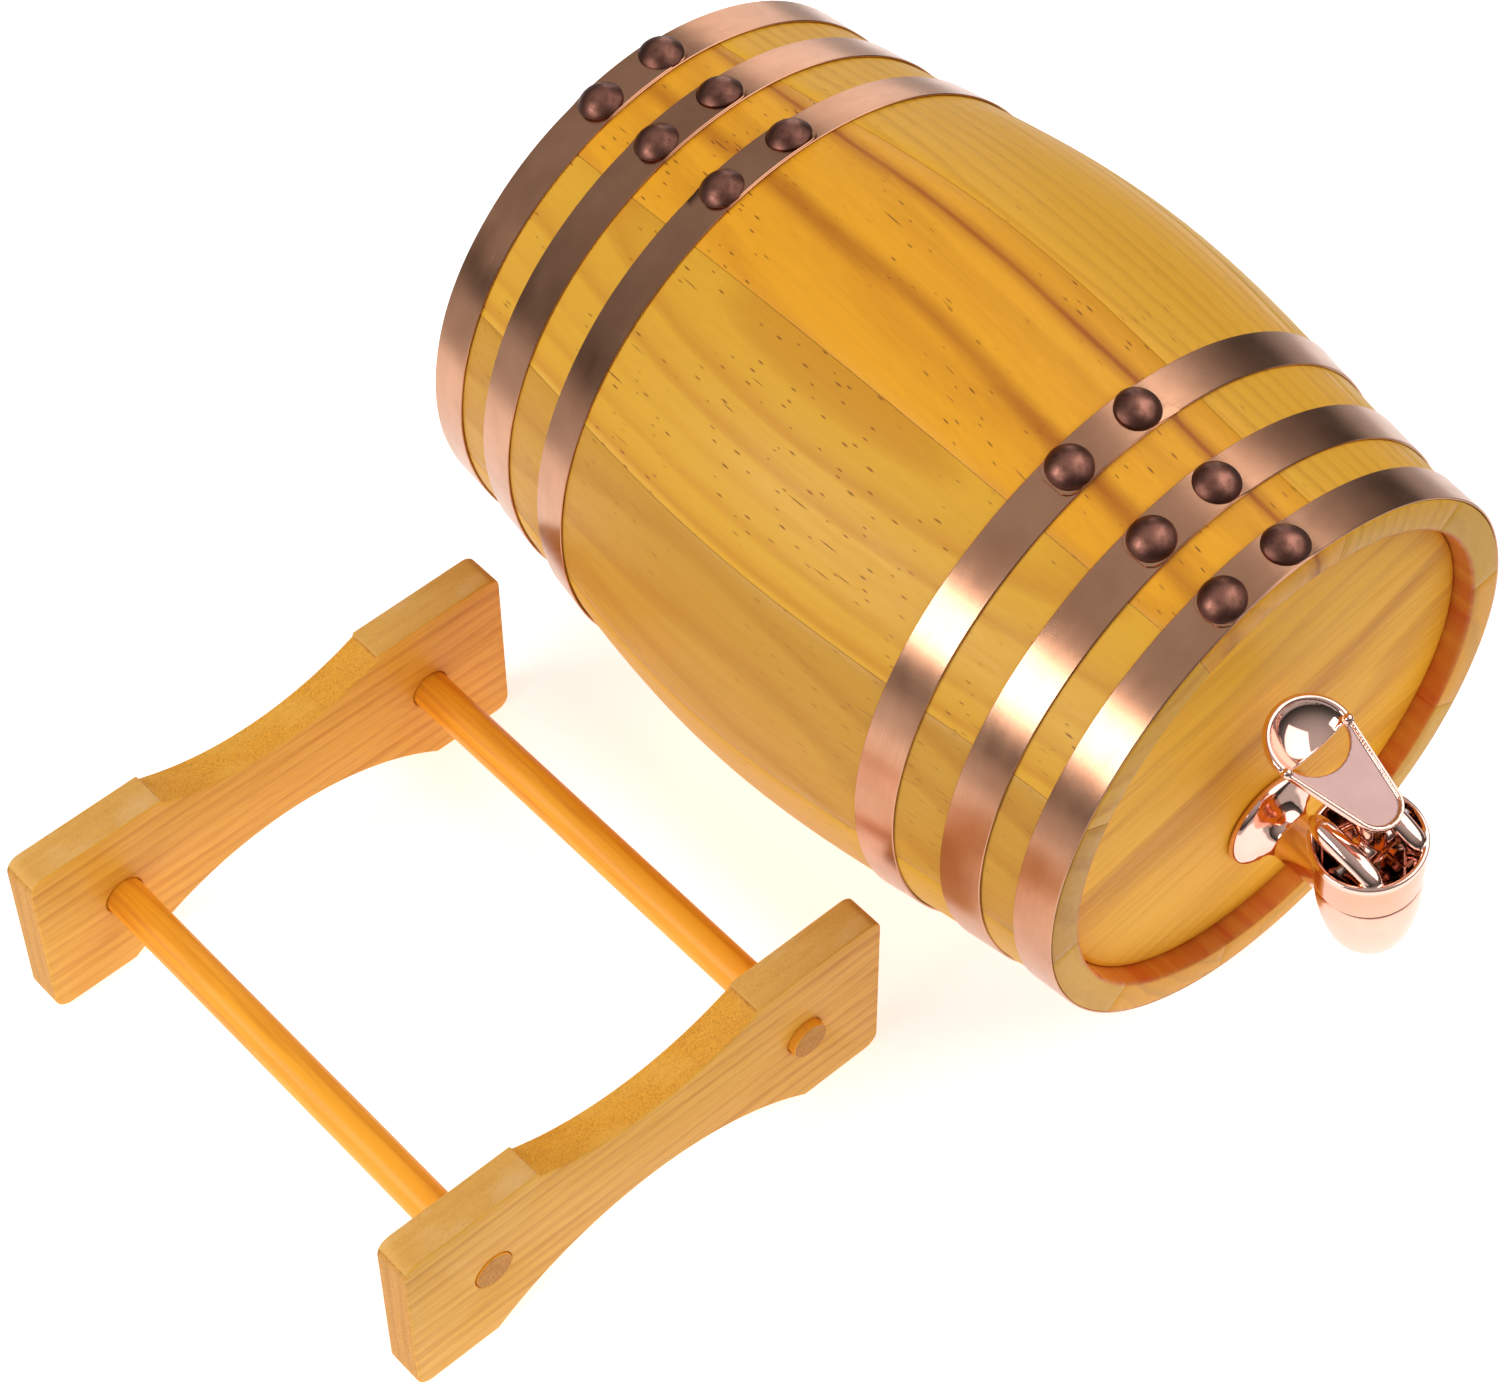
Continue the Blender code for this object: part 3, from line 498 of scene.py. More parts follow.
def rounded(profile, radius, steps=3):
    """Replaces each inner corner of an open profile by a small arc-like run of points."""
    out = [profile[0]]
    for before, corner, after in zip(profile, profile[1:], profile[2:]):
        a, c, b = Vector(before), Vector(corner), Vector(after)
        into, away = (a - c), (b - c)
        reach = min(radius, into.length * 0.45, away.length * 0.45)
        start, end = c + into.normalized() * reach, c + away.normalized() * reach
        for i in range(steps + 1):
            t = i / steps
            out.append(tuple((1 - t) ** 2 * start + 2 * t * (1 - t) * c + t * t * end))
    out.append(profile[-1])
    return out


def extruded(name, points, low, high):
    """A flat outline in XY made a solid between two heights."""
    bm = bmesh.new()
    base = bm.faces.new([bm.verts.new((x, y, low)) for x, y in points])
    grown = bmesh.ops.extrude_face_region(bm, geom=[base])
    top = [item for item in grown["geom"] if isinstance(item, bmesh.types.BMVert)]
    bmesh.ops.translate(bm, vec=(0, 0, high - low), verts=top)
    mesh = bpy.data.meshes.new(name)
    bm.to_mesh(mesh)
    bm.free()
    finish_mesh(mesh)
    return mesh


def moved(mesh, matrix):
    """The same mesh, moved."""
    mesh.transform(matrix)
    return mesh


def combined(name, mesh, steps):
    """Applies Boolean steps, given as (operation, mesh), to a mesh and returns the result."""
    host = placed(name, mesh)
    helpers = []
    for operation, other in steps:
        helper = placed(name + "_helper", other)
        step = host.modifiers.new(operation, "BOOLEAN")
        step.operation = operation
        step.object = helper
        step.solver = "EXACT"
        helpers.append(helper)
    return applied(host, helpers)


def applied(host, helpers=()):
    """The mesh that an object's modifiers make. The object and its helpers are removed."""
    bpy.context.view_layer.update()
    graph = bpy.context.evaluated_depsgraph_get()
    mesh = bpy.data.meshes.new_from_object(host.evaluated_get(graph))
    mesh.name = host.name
    for item in (host, *helpers):
        bpy.data.objects.remove(item, do_unlink=True)
    return mesh


def softened(name, mesh, voxel):
    """Remeshes a joined solid finely and smooths it, so that every corner and joint gets a fillet."""
    host = placed(name, mesh)
    remesh = host.modifiers.new("remesh", "REMESH")
    remesh.mode = "VOXEL"
    remesh.voxel_size = voxel
    remesh.use_smooth_shade = True
    smooth = host.modifiers.new("smooth", "SMOOTH")
    smooth.factor = 0.5
    smooth.iterations = 4
    mesh = applied(host)
    mesh.shade_smooth()
    return mesh


def disc(name, radius, low, high, steps, matrix):
    """A plain cylinder about Z, moved by the matrix."""
    return moved(lathe(name, [(0, high), (radius, high), (radius, low), (0, low)], steps), matrix)


def arc(centre, radius, start, end, steps):
    """Points on an arc. The angles are in degrees, counted anticlockwise from +X."""
    out = []
    for i in range(steps + 1):
        a = radians(start + (end - start) * i / steps)
        out.append((centre[0] + radius * cos(a), centre[1] + radius * sin(a)))
    return out


# ---------------- barrel


def shell_radius(y):
    """The barrel's outer radius at a place along its axis: the bilge swells as a cosine wave."""
    wave = cos(pi * y / (HALF_WAVE * BILGE_RADIUS))
    return BILGE_RADIUS * (CHIME_RATIO + (1 - CHIME_RATIO) * (1 + wave) / 2)


def stave_profile():
    """(radius, y, joint's groove in radius, joint's groove in y) round a stave's lengthwise section."""
    groove = 0.00012
    steps, inner_steps = 72, 8
    last = HALF_LENGTH - 0.0004
    points = []
    for i in range(steps + 1):
        y = last * (1 - 2 * i / steps)
        points.append((shell_radius(y), y, groove, 0))
    edge = shell_radius(HALF_LENGTH)
    ends = []
    for side in (-1, 1):
        face, head = side * HALF_LENGTH, side * HEAD_FACE
        rim = side * groove
        ends.append([
            (edge - 0.00015, face - side * 0.00012, groove * 0.7, rim * 0.5),
            (edge - 0.0005, face, 0, rim), ((edge + CHIME_INNER) / 2, face, 0, rim),
            (CHIME_INNER + 0.0010, face, 0, rim), (CHIME_INNER + 0.0003, face - side * 0.0003, 0, rim),
            (CHIME_INNER, face - side * 0.0010, 0, 0), (CHIME_INNER, head - side * 0.0022, 0, 0),
            (HEAD_GROOVE_RADIUS, head - side * 0.0022, 0, 0),
            (HEAD_GROOVE_RADIUS, head - side * 0.0068, 0, 0), (CHIME_INNER, head - side * 0.0068, 0, 0),
        ])
    tapped_end, far_end = ends
    points += tapped_end
    inside = HEAD_FACE - 0.0080
    for i in range(inner_steps + 1):
        y = -inside + 2 * inside * i / inner_steps
        points.append((shell_radius(y) - STAVE_THICKNESS, y, 0, 0))
    return points + far_end[::-1]


def make_staves(materials):
    """The staves. Each is swept round the axis through its share of the turn, with eased joint edges."""
    profile = stave_profile()
    step = 2 * pi / STAVES
    gap = 0.00004 / BILGE_RADIUS
    drop = 0.00028 / BILGE_RADIUS
    parts = 14
    for index in range(STAVES):
        start = SEAM_TO_JOINT + index * step
        stops = [start + gap]
        stops += [start + drop + (step - 2 * drop) * i / parts for i in range(parts + 1)]
        stops += [start + step - gap]
        loops = []
        for place, angle in enumerate(stops):
            edge = place in (0, len(stops) - 1)
            loop = []
            for radius, y, inset, sink in profile:
                r = radius - inset if edge else radius
                yy = y - sink if edge else y
                loop.append((r * sin(angle), yy, r * cos(angle)))
            loops.append(loop)
        name = f"stave_{index + 1:02d}"
        mesh = skin("fine_" + name, loops, sharp=50)
        piece(name, mesh, BARREL, "barrel", "stave_wood", materials[index])


def make_heads(material, bung_material):
    """Both heads with the tongue that sits in the staves' groove, and the bung in the rear one."""
    inner, edge = HEAD_RADIUS, 0.0006
    tongue_front, tongue_back = HEAD_FACE - 0.0025, HEAD_FACE - 0.0065
    front_hole = ("front_head", -1, -TAP_DROP, SHANK_HOLE_RADIUS)
    rear_hole = ("rear_head", 1, BUNG_HEIGHT, BUNG_HOLE_RADIUS)
    for name, side, height, hole in (front_hole, rear_hole):
        profile = [
            (0, HEAD_FACE), (inner - 3 * edge, HEAD_FACE), (inner - edge, HEAD_FACE - 0.3 * edge),
            (inner, HEAD_FACE - edge), (inner, tongue_front), (HEAD_TONGUE_RADIUS, tongue_front),
            (HEAD_TONGUE_RADIUS, tongue_back), (inner, tongue_back),
            (inner, HEAD_FACE - HEAD_THICKNESS), (0, HEAD_FACE - HEAD_THICKNESS),
        ]
        mesh = moved(lathe("fine_" + name, profile, 128), turned(-90 * side, "X"))
        place = shifted(0, side * HEAD_FACE, height) @ turned(90, "X")
        cut = disc("hole", hole, -0.02, 0.02, 48, place)
        mesh = combined("fine_" + name, mesh, [("DIFFERENCE", cut)])
        finish_mesh(mesh)
        piece(name, mesh, BARREL, "barrel", "head_wood", material)
    radius, narrowing, corner = 0.0089, 0.0007, 0.0007
    outer, inside = HALF_LENGTH - 0.0005 - HEAD_FACE, HALF_LENGTH - 0.0175 - HEAD_FACE
    profile = [(0, outer), (radius, outer), (radius - narrowing, inside), (0, inside)]
    mesh = moved(lathe("fine_bung", rounded(profile, corner), 48), turned(-90, "X"))
    place = BARREL @ shifted(0, HEAD_FACE, BUNG_HEIGHT)
    piece("bung", mesh, place, "bung", "head_wood", bung_material)


def hoop_angles(start, end, tab):
    """Even steps round the barrel, and closer and closer ones over the clipped tab."""
    steps, tab_steps = 330, 22
    angles = [start + (end - start - tab) * i / steps for i in range(steps)]
    return angles + [end - tab + tab * (1 - (1 - i / tab_steps) ** 1.7) for i in range(tab_steps + 1)]


def make_hoop(index, band, clean, edge):
    """One strip that starts under the lap, runs once round and ends in a clipped tab on top of its start."""
    low, high = band
    towards = -1 if low < 0 else 1
    middle, half = (low + high) / 2, (high - low) / 2
    thick, corner = HOOP_THICKNESS, 0.00018
    start, end = radians(-12.0), radians(360 + 11.7)
    taper, tab_length = radians(4.0), 0.0048
    near = 1 - corner / half
    outside = ((-1, corner), (-1, thick - corner), (-near, thick), (-0.5, thick), (0, thick))
    outside += ((0.5, thick), (near, thick), (1, thick - corner), (1, corner))
    inside = ((near, 0), (0, 0), (-near, 0))
    loops = []
    for angle in hoop_angles(start, end, radians(5.5)):
        left = (end - angle) * shell_radius(middle)
        width = half
        if left < tab_length:
            width = half * (0.42 + 0.58 * swell(left / tab_length))
        thin, climb = (min(1.0, max(0.0, (angle - since) / taper)) for since in (start, 2 * pi + start))
        thin, climb = (t * t * (3 - 2 * t) for t in (thin, climb))
        lift = HOOP_OFFSET - 0.00012 + climb * (thick + 0.00006)
        lift += 0.00007 * sin(5 * angle + index) + 0.00005 * sin(11 * angle + 2 * index)
        section = []
        for side, up in outside + inside:
            y = middle + side * width
            radius = shell_radius(y)
            if abs(side) < 0.9:
                left_edge, right_edge = shell_radius(middle - width), shell_radius(middle + width)
                radius = max(radius, (left_edge * (1 - side) + right_edge * (1 + side)) / 2)
            radius += lift + up - up * 0.95 * (1 - thin)
            section.append((radius * sin(towards * angle), y, radius * cos(towards * angle)))
        loops.append(section)
    name = f"hoop_{index}"
    mesh = skin("fine_" + name, loops, sharp=40)
    size = len(loops[0])
    # The columns of faces along the strip's two edges
    edge_columns = (0, 1, 6, 7, 8, size - 1)
    for number, face in enumerate(mesh.polygons):
        is_cap = number >= size * (len(loops) - 1)
        face.material_index = 1 if is_cap or number % size in edge_columns else 0
    piece(name, mesh, BARREL, "barrel", "hoop_copper", clean, edge)


def make_rivets(index, band, material):
    """Two domed heads through a hoop's lap, each a little out of round and leaning its own way."""
    low, high = band
    middle = (low + high) / 2
    slope = (shell_radius(middle + 0.001) - shell_radius(middle - 0.001)) / 0.002
    rng = random.Random(40 + index)
    seat = 2 * HOOP_THICKNESS + HOOP_OFFSET + 0.0001
    sphere = (RIVET_RADIUS**2 + RIVET_HEIGHT**2) / (2 * RIVET_HEIGHT)
    spread = asin(RIVET_RADIUS / sphere)
    lift, foot, steps, lean = 0.0002, 0.0002, 14, 2.5
    dome = []
    for i in range(steps + 1):
        a = spread * i / steps
        dome.append((sphere * sin(a), RIVET_HEIGHT - sphere + sphere * cos(a) + lift))
    profile = dome + [(RIVET_RADIUS + 0.00005, 0.00005), (RIVET_RADIUS - 0.0001, -foot), (0, -foot)]
    for side, mark in ((-1, "a"), (1, "b")):
        mesh = lathe("fine_rivet", profile, 48, 60)
        for vertex in mesh.vertices:
            a = atan2(vertex.co.y, vertex.co.x)
            stretch = 1 + 0.012 * sin(2 * a + rng.random() * 0.02 + index * 1.7 + side)
            vertex.co.x *= stretch
            vertex.co.y *= stretch
        place = (
            BARREL
            @ turned(side * RIVET_ANGLE, "Y")
            @ shifted(0, middle, shell_radius(middle) + seat)
            @ turned(degrees(atan(slope)), "X")
            @ turned(rng.uniform(-lean, lean), "X")
            @ turned(rng.uniform(-lean, lean), "Y")
        )
        name = f"rivet_{index}{mark}"
        piece(name, mesh, place, "barrel", "rivet_copper", material)


# ---------------- tap


def make_tap_body(pale, rose):
    """The cup's lower half with its nozzle, and the shank with its flange. The wall round the cup is pale."""
    down = [
        (0, TAP_BODY_TOP), (0.0131, TAP_BODY_TOP), (0.0130, 0.0090), (0.0126, 0.0035),
        (0.0118, -0.0020), (0.0104, -0.0080), (0.0092, -0.0108), (0.0076, -0.0120), (0, -0.0120),
    ]
    body = moved(lathe("fine_tap_body", rounded(down, 0.0022, 5), 96), CUP_AXIS)
    forward = turned(90, "X")
    along = [
        (0, TAP_REACH - 0.0050), (0.0064, TAP_REACH - 0.0050), (0.0064, 0.0086), (0.0072, 0.0066),
        (0.0094, 0.0048), (0.0118, 0.0036), (0.0133, 0.0026), (0.0137, 0.0014), (0.0136, 0.0003),
        (0.0113, 0.0003), (0.0113, 0.0020), (0.0063, 0.0020), (0.0063, -0.0230), (0, -0.0230),
    ]
    shank = moved(lathe("shank", rounded(along, 0.0011, 4), 96), forward)
    steps = [
        ("UNION", shank),
        ("DIFFERENCE", disc("chamber", 0.0090, -0.0062, 0.03, 64, CUP_AXIS)),
        ("DIFFERENCE", disc("outlet", 0.0052, -0.03, 0.0, 64, CUP_AXIS)),
        ("DIFFERENCE", disc("bore", 0.0034, -0.03, TAP_REACH, 32, forward)),
    ]
    mesh = combined("fine_tap_body", body, steps)
    finish_mesh(mesh, 30)
    piece("tap_body", mesh, TAP, "barrel", "rose_plating", pale, rose)
    for face in mesh.polygons:
        centre = face.center
        around = hypot(centre.x, centre.y + TAP_REACH)
        wall = 0.0069 < around < 0.0145 and centre.y < -0.02 and centre.z < TAP_BODY_TOP - 0.00005
        face.material_index = 0 if wall else 1


def make_bonnet(rose, peach):
    """The open cup that screws into the body, and the two rounded bars in it that carry the lever's pin."""
    low = TAP_BODY_TOP + 0.00012
    profile = [
        (0.0020, 0.0175), (0.0108, 0.0175), (0.0116, 0.0184), (0.0126, 0.0288), (0.0128, 0.0295),
        (0.0134, 0.0299), (0.0141, 0.0297), (0.0144, 0.0290), (0.0142, 0.0282), (0.0139, 0.0270),
        (0.0137, 0.0220), (0.01325, low + 0.0003), (0.0130, low), (0.0087, low), (0.0087, low - 0.0030),
        (0.0071, low - 0.0030), (0.0071, low), (0.0020, low),
    ]
    cup = moved(lathe("fine_tap_bonnet", profile, 96), CUP_AXIS)
    across = turned(90, "Y")
    steps = []
    bar = [
        (-0.0222, 0.0352, 0.0029, 0.0028),
        (-0.0300, 0.0331, 0.0031, 0.0031),
        (-0.0376, 0.0310, 0.0031, 0.0031),
        (-0.0420, 0.0290, 0.0029, 0.0029),
        (-0.0440, 0.0258, 0.0026, 0.0025),
    ]
    top, foot, rear, front = -0.0310, -0.0160, PIVOT.y + 0.0072, PIVOT.y - 0.0058
    bar_offset, plate_half = 0.0073, 0.0021
    for side in (-1, 1):
        offset = shifted(side * bar_offset, 0, 0)
        plate_box = [(top, rear), (top, front), (foot, front), (foot, rear)]
        plate = extruded("plate", plate_box, -plate_half, plate_half)
        steps.append(("UNION", moved(plate, offset @ across)))
        steps.append(("UNION", moved(finger("bar", bar, both=True), offset)))
    hole = disc("pin_hole", PIN_HOLE_RADIUS, -0.013, 0.013, 24, shifted(*PIVOT) @ across)
    steps.append(("DIFFERENCE", hole))
    mesh = combined("fine_tap_bonnet", cup, steps)
    mesh = softened("fine_tap_bonnet", mesh, 0.00026)
    piece("tap_bonnet", mesh, TAP, "barrel", "rose_plating", rose, peach)
    for face in mesh.polygons:
        around = hypot(face.center.x, face.center.y + TAP_REACH)
        face.material_index = 1 if around > 0.0129 and face.center.z < 0.0283 else 0


def pear(tip_radius, ring_radius, length):
    """Two circles joined by their outer tangents: the paddle's outline from its tip to its ring."""
    steps = 36
    lean = degrees(asin((ring_radius - tip_radius) / length))
    ring = arc((0, length), ring_radius, -lean, 180 + lean, steps)
    tip = arc((0, 0), tip_radius, 180 + lean, 360 - lean, steps // 2)
    return ring + tip


def torus(name, radius, tube, start, end, matrix):
    """Part of a ring in XY, with rounded ends, as a solid."""
    steps, sides = 72, 16
    loops = []
    a0, a1 = radians(start), radians(end)
    for i in range(steps + 1):
        a = a0 + (a1 - a0) * i / steps
        size = tube * (0.25 + 0.75 * swell(min(1.0, min(i, steps - i) / 3)))
        loop = []
        for j in range(sides):
            b = 2 * pi * j / sides
            r = radius + size * cos(b)
            loop.append((r * cos(a), r * sin(a), size * sin(b)))
        loops.append(loop)
    return moved(skin(name, loops), matrix)


def weighted(stations, weights):
    """The weighted mean of some (y, z, half width, half thickness) stations."""
    return tuple(sum(weight * value for weight, value in zip(weights, values)) for values in zip(*stations))


def finger(name, path, both=False):
    """A rod through (y, z, half width, half thickness) stations at x = 0, its last end or both rounded."""
    between, passes, sides = 6, 5, 28
    spots = []
    for a, b in zip(path, path[1:]):
        spots += [weighted((a, b), (1 - i / between, i / between)) for i in range(between)]
    spots.append(path[-1])
    for _ in range(passes):
        inner = [weighted(three, (0.25, 0.5, 0.25)) for three in zip(spots, spots[1:], spots[2:])]
        spots = [spots[0], *inner, spots[-1]]
    loops = []
    last = len(spots) - 1
    for i, (y, z, wide, thick) in enumerate(spots):
        before, after = spots[max(0, i - 1)], spots[min(last, i + 1)]
        run = Vector((0, after[0] - before[0], after[1] - before[1])).normalized()
        out = Vector((0, -run.z, run.y))
        size = 0.2 + 0.8 * swell(min(1.0, (last - i) / 5, i / 5 if both else 1.0))
        loop = []
        for j in range(sides):
            a = 2 * pi * j / sides
            loop.append(Vector((cos(a) * wide * size, y, z)) + out * (sin(a) * thick * size))
        loops.append(loop)
    return skin(name, loops)


def ball(radius):
    """A ball's profile for lathe(), from its top to its foot."""
    steps = 10
    turn = [pi * i / steps for i in range(1, steps)]
    return [(0, radius), *((radius * sin(a), radius * cos(a)) for a in turn), (0, -radius)]


def half_bowl(opening, depth, wall, top, centre):
    """A shallow round dish, cut off in front of its middle."""
    steps = 14
    sphere = (opening**2 + depth**2) / (2 * depth)
    outer = sphere + wall
    rim = asin(opening / sphere)
    turn = [rim * i / steps for i in range(steps + 1)]
    inside = [(sphere * sin(a), top - depth + sphere * (1 - cos(a))) for a in turn]
    outside = [(outer * sin(a), top - depth + sphere - outer * cos(a)) for a in reversed(turn)]
    dish = moved(lathe("dish", outside + inside, 96), centre)
    reach, cut = 0.02, -0.0022
    front = extruded("front", [(-reach, -reach), (reach, -reach), (reach, cut), (-reach, cut)], -reach, reach)
    return combined("dish", dish, [("DIFFERENCE", moved(front, centre))])


def make_lever(rose, satin):
    """The paddle with its thumb ring, half bowl and bead, on a neck that runs down past the pin."""
    plane = shifted(0, -0.0365, 0.0480) @ turned(15, "X")
    length, tip, ring = 0.0214, 0.0064, 0.0111
    centre = plane @ shifted(0, length, 0)
    plate = moved(extruded("fine_tap_lever", pear(tip, ring, length), -0.0011, 0.00115), plane)
    recess = moved(extruded("recess", pear(tip - 0.0010, ring - 0.0009, length), 0.0005, 0.005), plane)
    bowl, bead_radius, bead_height, bead_ends = 0.0091, 0.0103, 0.0006, (-12, 192)
    bead = torus("bead", bead_radius, 0.0011, *bead_ends, centre @ shifted(0, 0, bead_height))
    neck = [
        (-0.0318, 0.0468, 0.0046, 0.0046),
        (-0.0332, 0.0420, 0.0037, 0.0046),
        (-0.0346, 0.0350, 0.0034, 0.0039),
        (-0.0355, 0.0280, 0.0034, 0.0036),
        (-0.0362, 0.0230, 0.0028, 0.0026),
    ]
    across = shifted(*PIVOT) @ turned(90, "Y")
    steps = [
        ("DIFFERENCE", recess),
        ("DIFFERENCE", disc("ring_hole", bowl, -0.02, 0.02, 96, centre)),
        ("UNION", half_bowl(bowl, 0.0043, 0.0010, 0.0008, centre)),
        ("UNION", bead),
    ]
    for end in bead_ends:
        a = radians(end)
        knob = shifted(bead_radius * cos(a), bead_radius * sin(a), bead_height)
        steps.append(("UNION", moved(lathe("knob", ball(0.0014), 20), centre @ knob)))
    steps += [
        ("UNION", finger("neck", neck)),
        ("UNION", disc("boss", 0.0040, -0.0042, 0.0042, 48, across)),
        ("DIFFERENCE", disc("pin_hole", PIN_HOLE_RADIUS, -0.01, 0.01, 24, across)),
    ]
    mesh = combined("fine_tap_lever", plate, steps)
    mesh = softened("fine_tap_lever", mesh, 0.00022)
    piece("tap_lever", mesh, TAP, "lever", "rose_plating", rose, satin)
    to_plane = plane.inverted()
    for face in mesh.polygons:
        local = to_plane @ face.center
        facing = (to_plane.to_3x3() @ face.normal).z
        flat = facing > 0.93 and 0.0 < local.z < 0.00085 and hypot(local.x, local.y - length) > bowl
        face.material_index = 1 if flat and local.y < length - 0.0010 else 0


def paint_small(nodes, steel, silicone, rose):
    """Materials for the small inner parts, which keep their frame meshes."""
    metals = {"lever_pin": steel, "valve_stem": steel, "shank_nut": rose}
    seals = {name: silicone for name in ("seat_cup", "outer_washer", "inner_washer")}
    for name, item in {**metals, **seals}.items():
        mesh = nodes[name].data
        mesh.materials.clear()
        mesh.materials.append(item)


# ---------------- stand


def arc_radius(half, rise):
    """The radius of an arc from half its chord and its rise, and half the angle it spans in degrees."""
    radius = (half**2 + rise**2) / (2 * rise)
    return radius, degrees(asin(half / radius))


def board_outline():
    """One board seen along the dowels: a hollow saddle on top and an arch between the two feet."""
    half, top, corner = 0.0734, 0.0528, 0.0040
    saddle_half, shoulder, saddle_low = 0.0337, 0.0516, 0.0440
    radius, spread = arc_radius(saddle_half, shoulder - saddle_low)
    saddle = arc((0, saddle_low + radius), radius, spread - 90, -spread - 90, 40)
    foot, arch = 0.0490, 0.0165
    radius, spread = arc_radius(foot, arch)
    under = arc((0, arch - radius), radius, 90 + spread, 90 - spread, 44)
    return [
        *arc((half - corner, corner), corner, -90, 0, 8),
        *arc((half - corner, top - corner), corner, 0, 90, 8),
        (saddle_half, top),
        *saddle,
        (-saddle_half, top),
        *arc((corner - half, top - corner), corner, 90, 180, 8),
        *arc((corner - half, corner), corner, 180, 270, 8),
        *under,
    ]


def make_board(name, front, woods):
    """One board with eased edges. woods are for its faces, its sawn saddle, its tops and its ends."""
    half = BOARD_THICKNESS / 2
    mesh = extruded("fine_" + name, board_outline(), -half, half)
    steps = []
    for side in (-1, 1):
        spot = shifted(side * DOWEL_X, DOWEL_Z, 0)
        steps.append(("DIFFERENCE", disc("hole", DOWEL_HOLE_RADIUS, -0.02, 0.02, 48, spot)))
    host = placed("fine_" + name, combined("fine_" + name, mesh, steps))
    bevel = host.modifiers.new("bevel", "BEVEL")
    bevel.width = 0.0010
    bevel.segments = 3
    bevel.limit_method = "ANGLE"
    bevel.angle_limit = radians(50)
    mesh = applied(host)
    mesh.shade_smooth()
    mesh.set_sharp_from_angle(angle=radians(40))
    matrix = STAND @ shifted(0, front + half, 0) @ turned(90, "X")
    piece(name, mesh, matrix, "stand", "stand_wood", *woods)
    saddle_half = 0.0333
    for face in mesh.polygons:
        edge_face = abs(face.normal.z) < 0.5
        if edge_face and face.normal.y > 0.6:
            face.material_index = 1 if abs(face.center.x) < saddle_half else 2
        elif edge_face and abs(face.normal.x) > 0.8:
            face.material_index = 3


def make_dowel(name, side, proud, wood_side, wood_end):
    """One dowel through both boards: it stands proud of the front board and ends just inside the rear one."""
    front = BOARDS["front_board"] - proud
    rear = BOARDS["rear_board"] + BOARD_THICKNESS - 0.0003
    radii = (0, *[DOWEL_RADIUS] * 4, 0)
    profile = list(zip(radii, (rear, rear, 0.03, -0.02, front, front)))
    mesh = moved(lathe("fine_" + name, rounded(profile, 0.0004), 64), turned(-90, "X"))
    matrix = STAND @ shifted(side * DOWEL_X, 0, DOWEL_Z)
    piece(name, mesh, matrix, "stand", "dowel_wood", wood_side, wood_end)
    for face in mesh.polygons:
        face.material_index = 1 if abs(face.normal.y) > 0.8 else 0


# ---------------- camera, floor and light


def make_floor():
    """A pale floor with painted light: round the object it is paler and glows, and beyond it is duller, so
    that the metal reflects both.
    """
    mesh = bpy.data.meshes.new("floor")
    size = 3.0
    corners = [(-size, -size, 0), (size, -size, 0), (size, size, 0), (-size, size, 0)]
    mesh.from_pydata(corners, [], [(0, 1, 2, 3)])
    floor = placed("floor", mesh)
    floor.location.z = -0.0004
    n = Nodes("floor_with_painted_light")
    x, y, _ = n.split(n.mapping(n.coords(), rotation=(0, 0, radians(42.1))))
    # Painted light: a glowing, paler patch round the object that fades into the duller floor beyond.
    side = n.fit(n.math("ABSOLUTE", x), 0.255, 0.33, 1.0, 0.0, True)
    far = n.fit(y, 0.44, 0.56, 1.0, 0.0, True)
    near = n.fit(y, -0.30, -0.19, 0.0, 1.0, True)
    lit = n.times(n.times(side, far), near)
    around, under, glow = (0.55, 0.55, 0.55, 1), (0.85, 0.85, 0.85, 1), 0.62
    n.set(Base_Color=n.mix(lit, around, under), Roughness=0.9, Specular_IOR_Level=0.1)
    n.set(Emission_Color=(1, 1, 1, 1), Emission_Strength=n.times(lit, glow))
    mesh.materials.append(n.material)


def make_world():
    """A grey studio: dark below the horizon and paler towards the top."""
    world = bpy.data.worlds.new("studio")
    bpy.context.scene.world = world
    world.use_nodes = True
    tree = world.node_tree
    background = tree.nodes["Background"]
    background.inputs["Strength"].default_value = 1.0
    coord = tree.nodes.new("ShaderNodeTexCoord")
    split = tree.nodes.new("ShaderNodeSeparateXYZ")
    ramp = tree.nodes.new("ShaderNodeValToRGB")
    tree.links.new(coord.outputs["Generated"], split.inputs[0])
    tree.links.new(split.outputs["Z"], ramp.inputs[0])
    tree.links.new(ramp.outputs[0], background.inputs["Color"])
    set_ramp(ramp.color_ramp, ((0.0, 0.03), (0.22, 0.10), (0.50, 0.28), (0.85, 0.46), (1.0, 0.52)))


def softbox(name, azimuth, elevation, distance, width, height, watts):
    """An area light at an azimuth (0 is +Y, 90 is -X) and elevation, facing the object's middle."""
    a, e = radians(azimuth), radians(elevation)
    towards = Vector((-sin(a) * cos(e), cos(a) * cos(e), sin(e)))
    data = bpy.data.lights.new(name, "AREA")
    data.shape = "RECTANGLE"
    data.size = width
    data.size_y = height
    data.energy = watts
    light = placed(name, data)
    light.location = Vector((0.03, 0.02, 0.06)) + towards * distance
    light.rotation_euler = towards.to_track_quat("Z", "Y").to_euler()


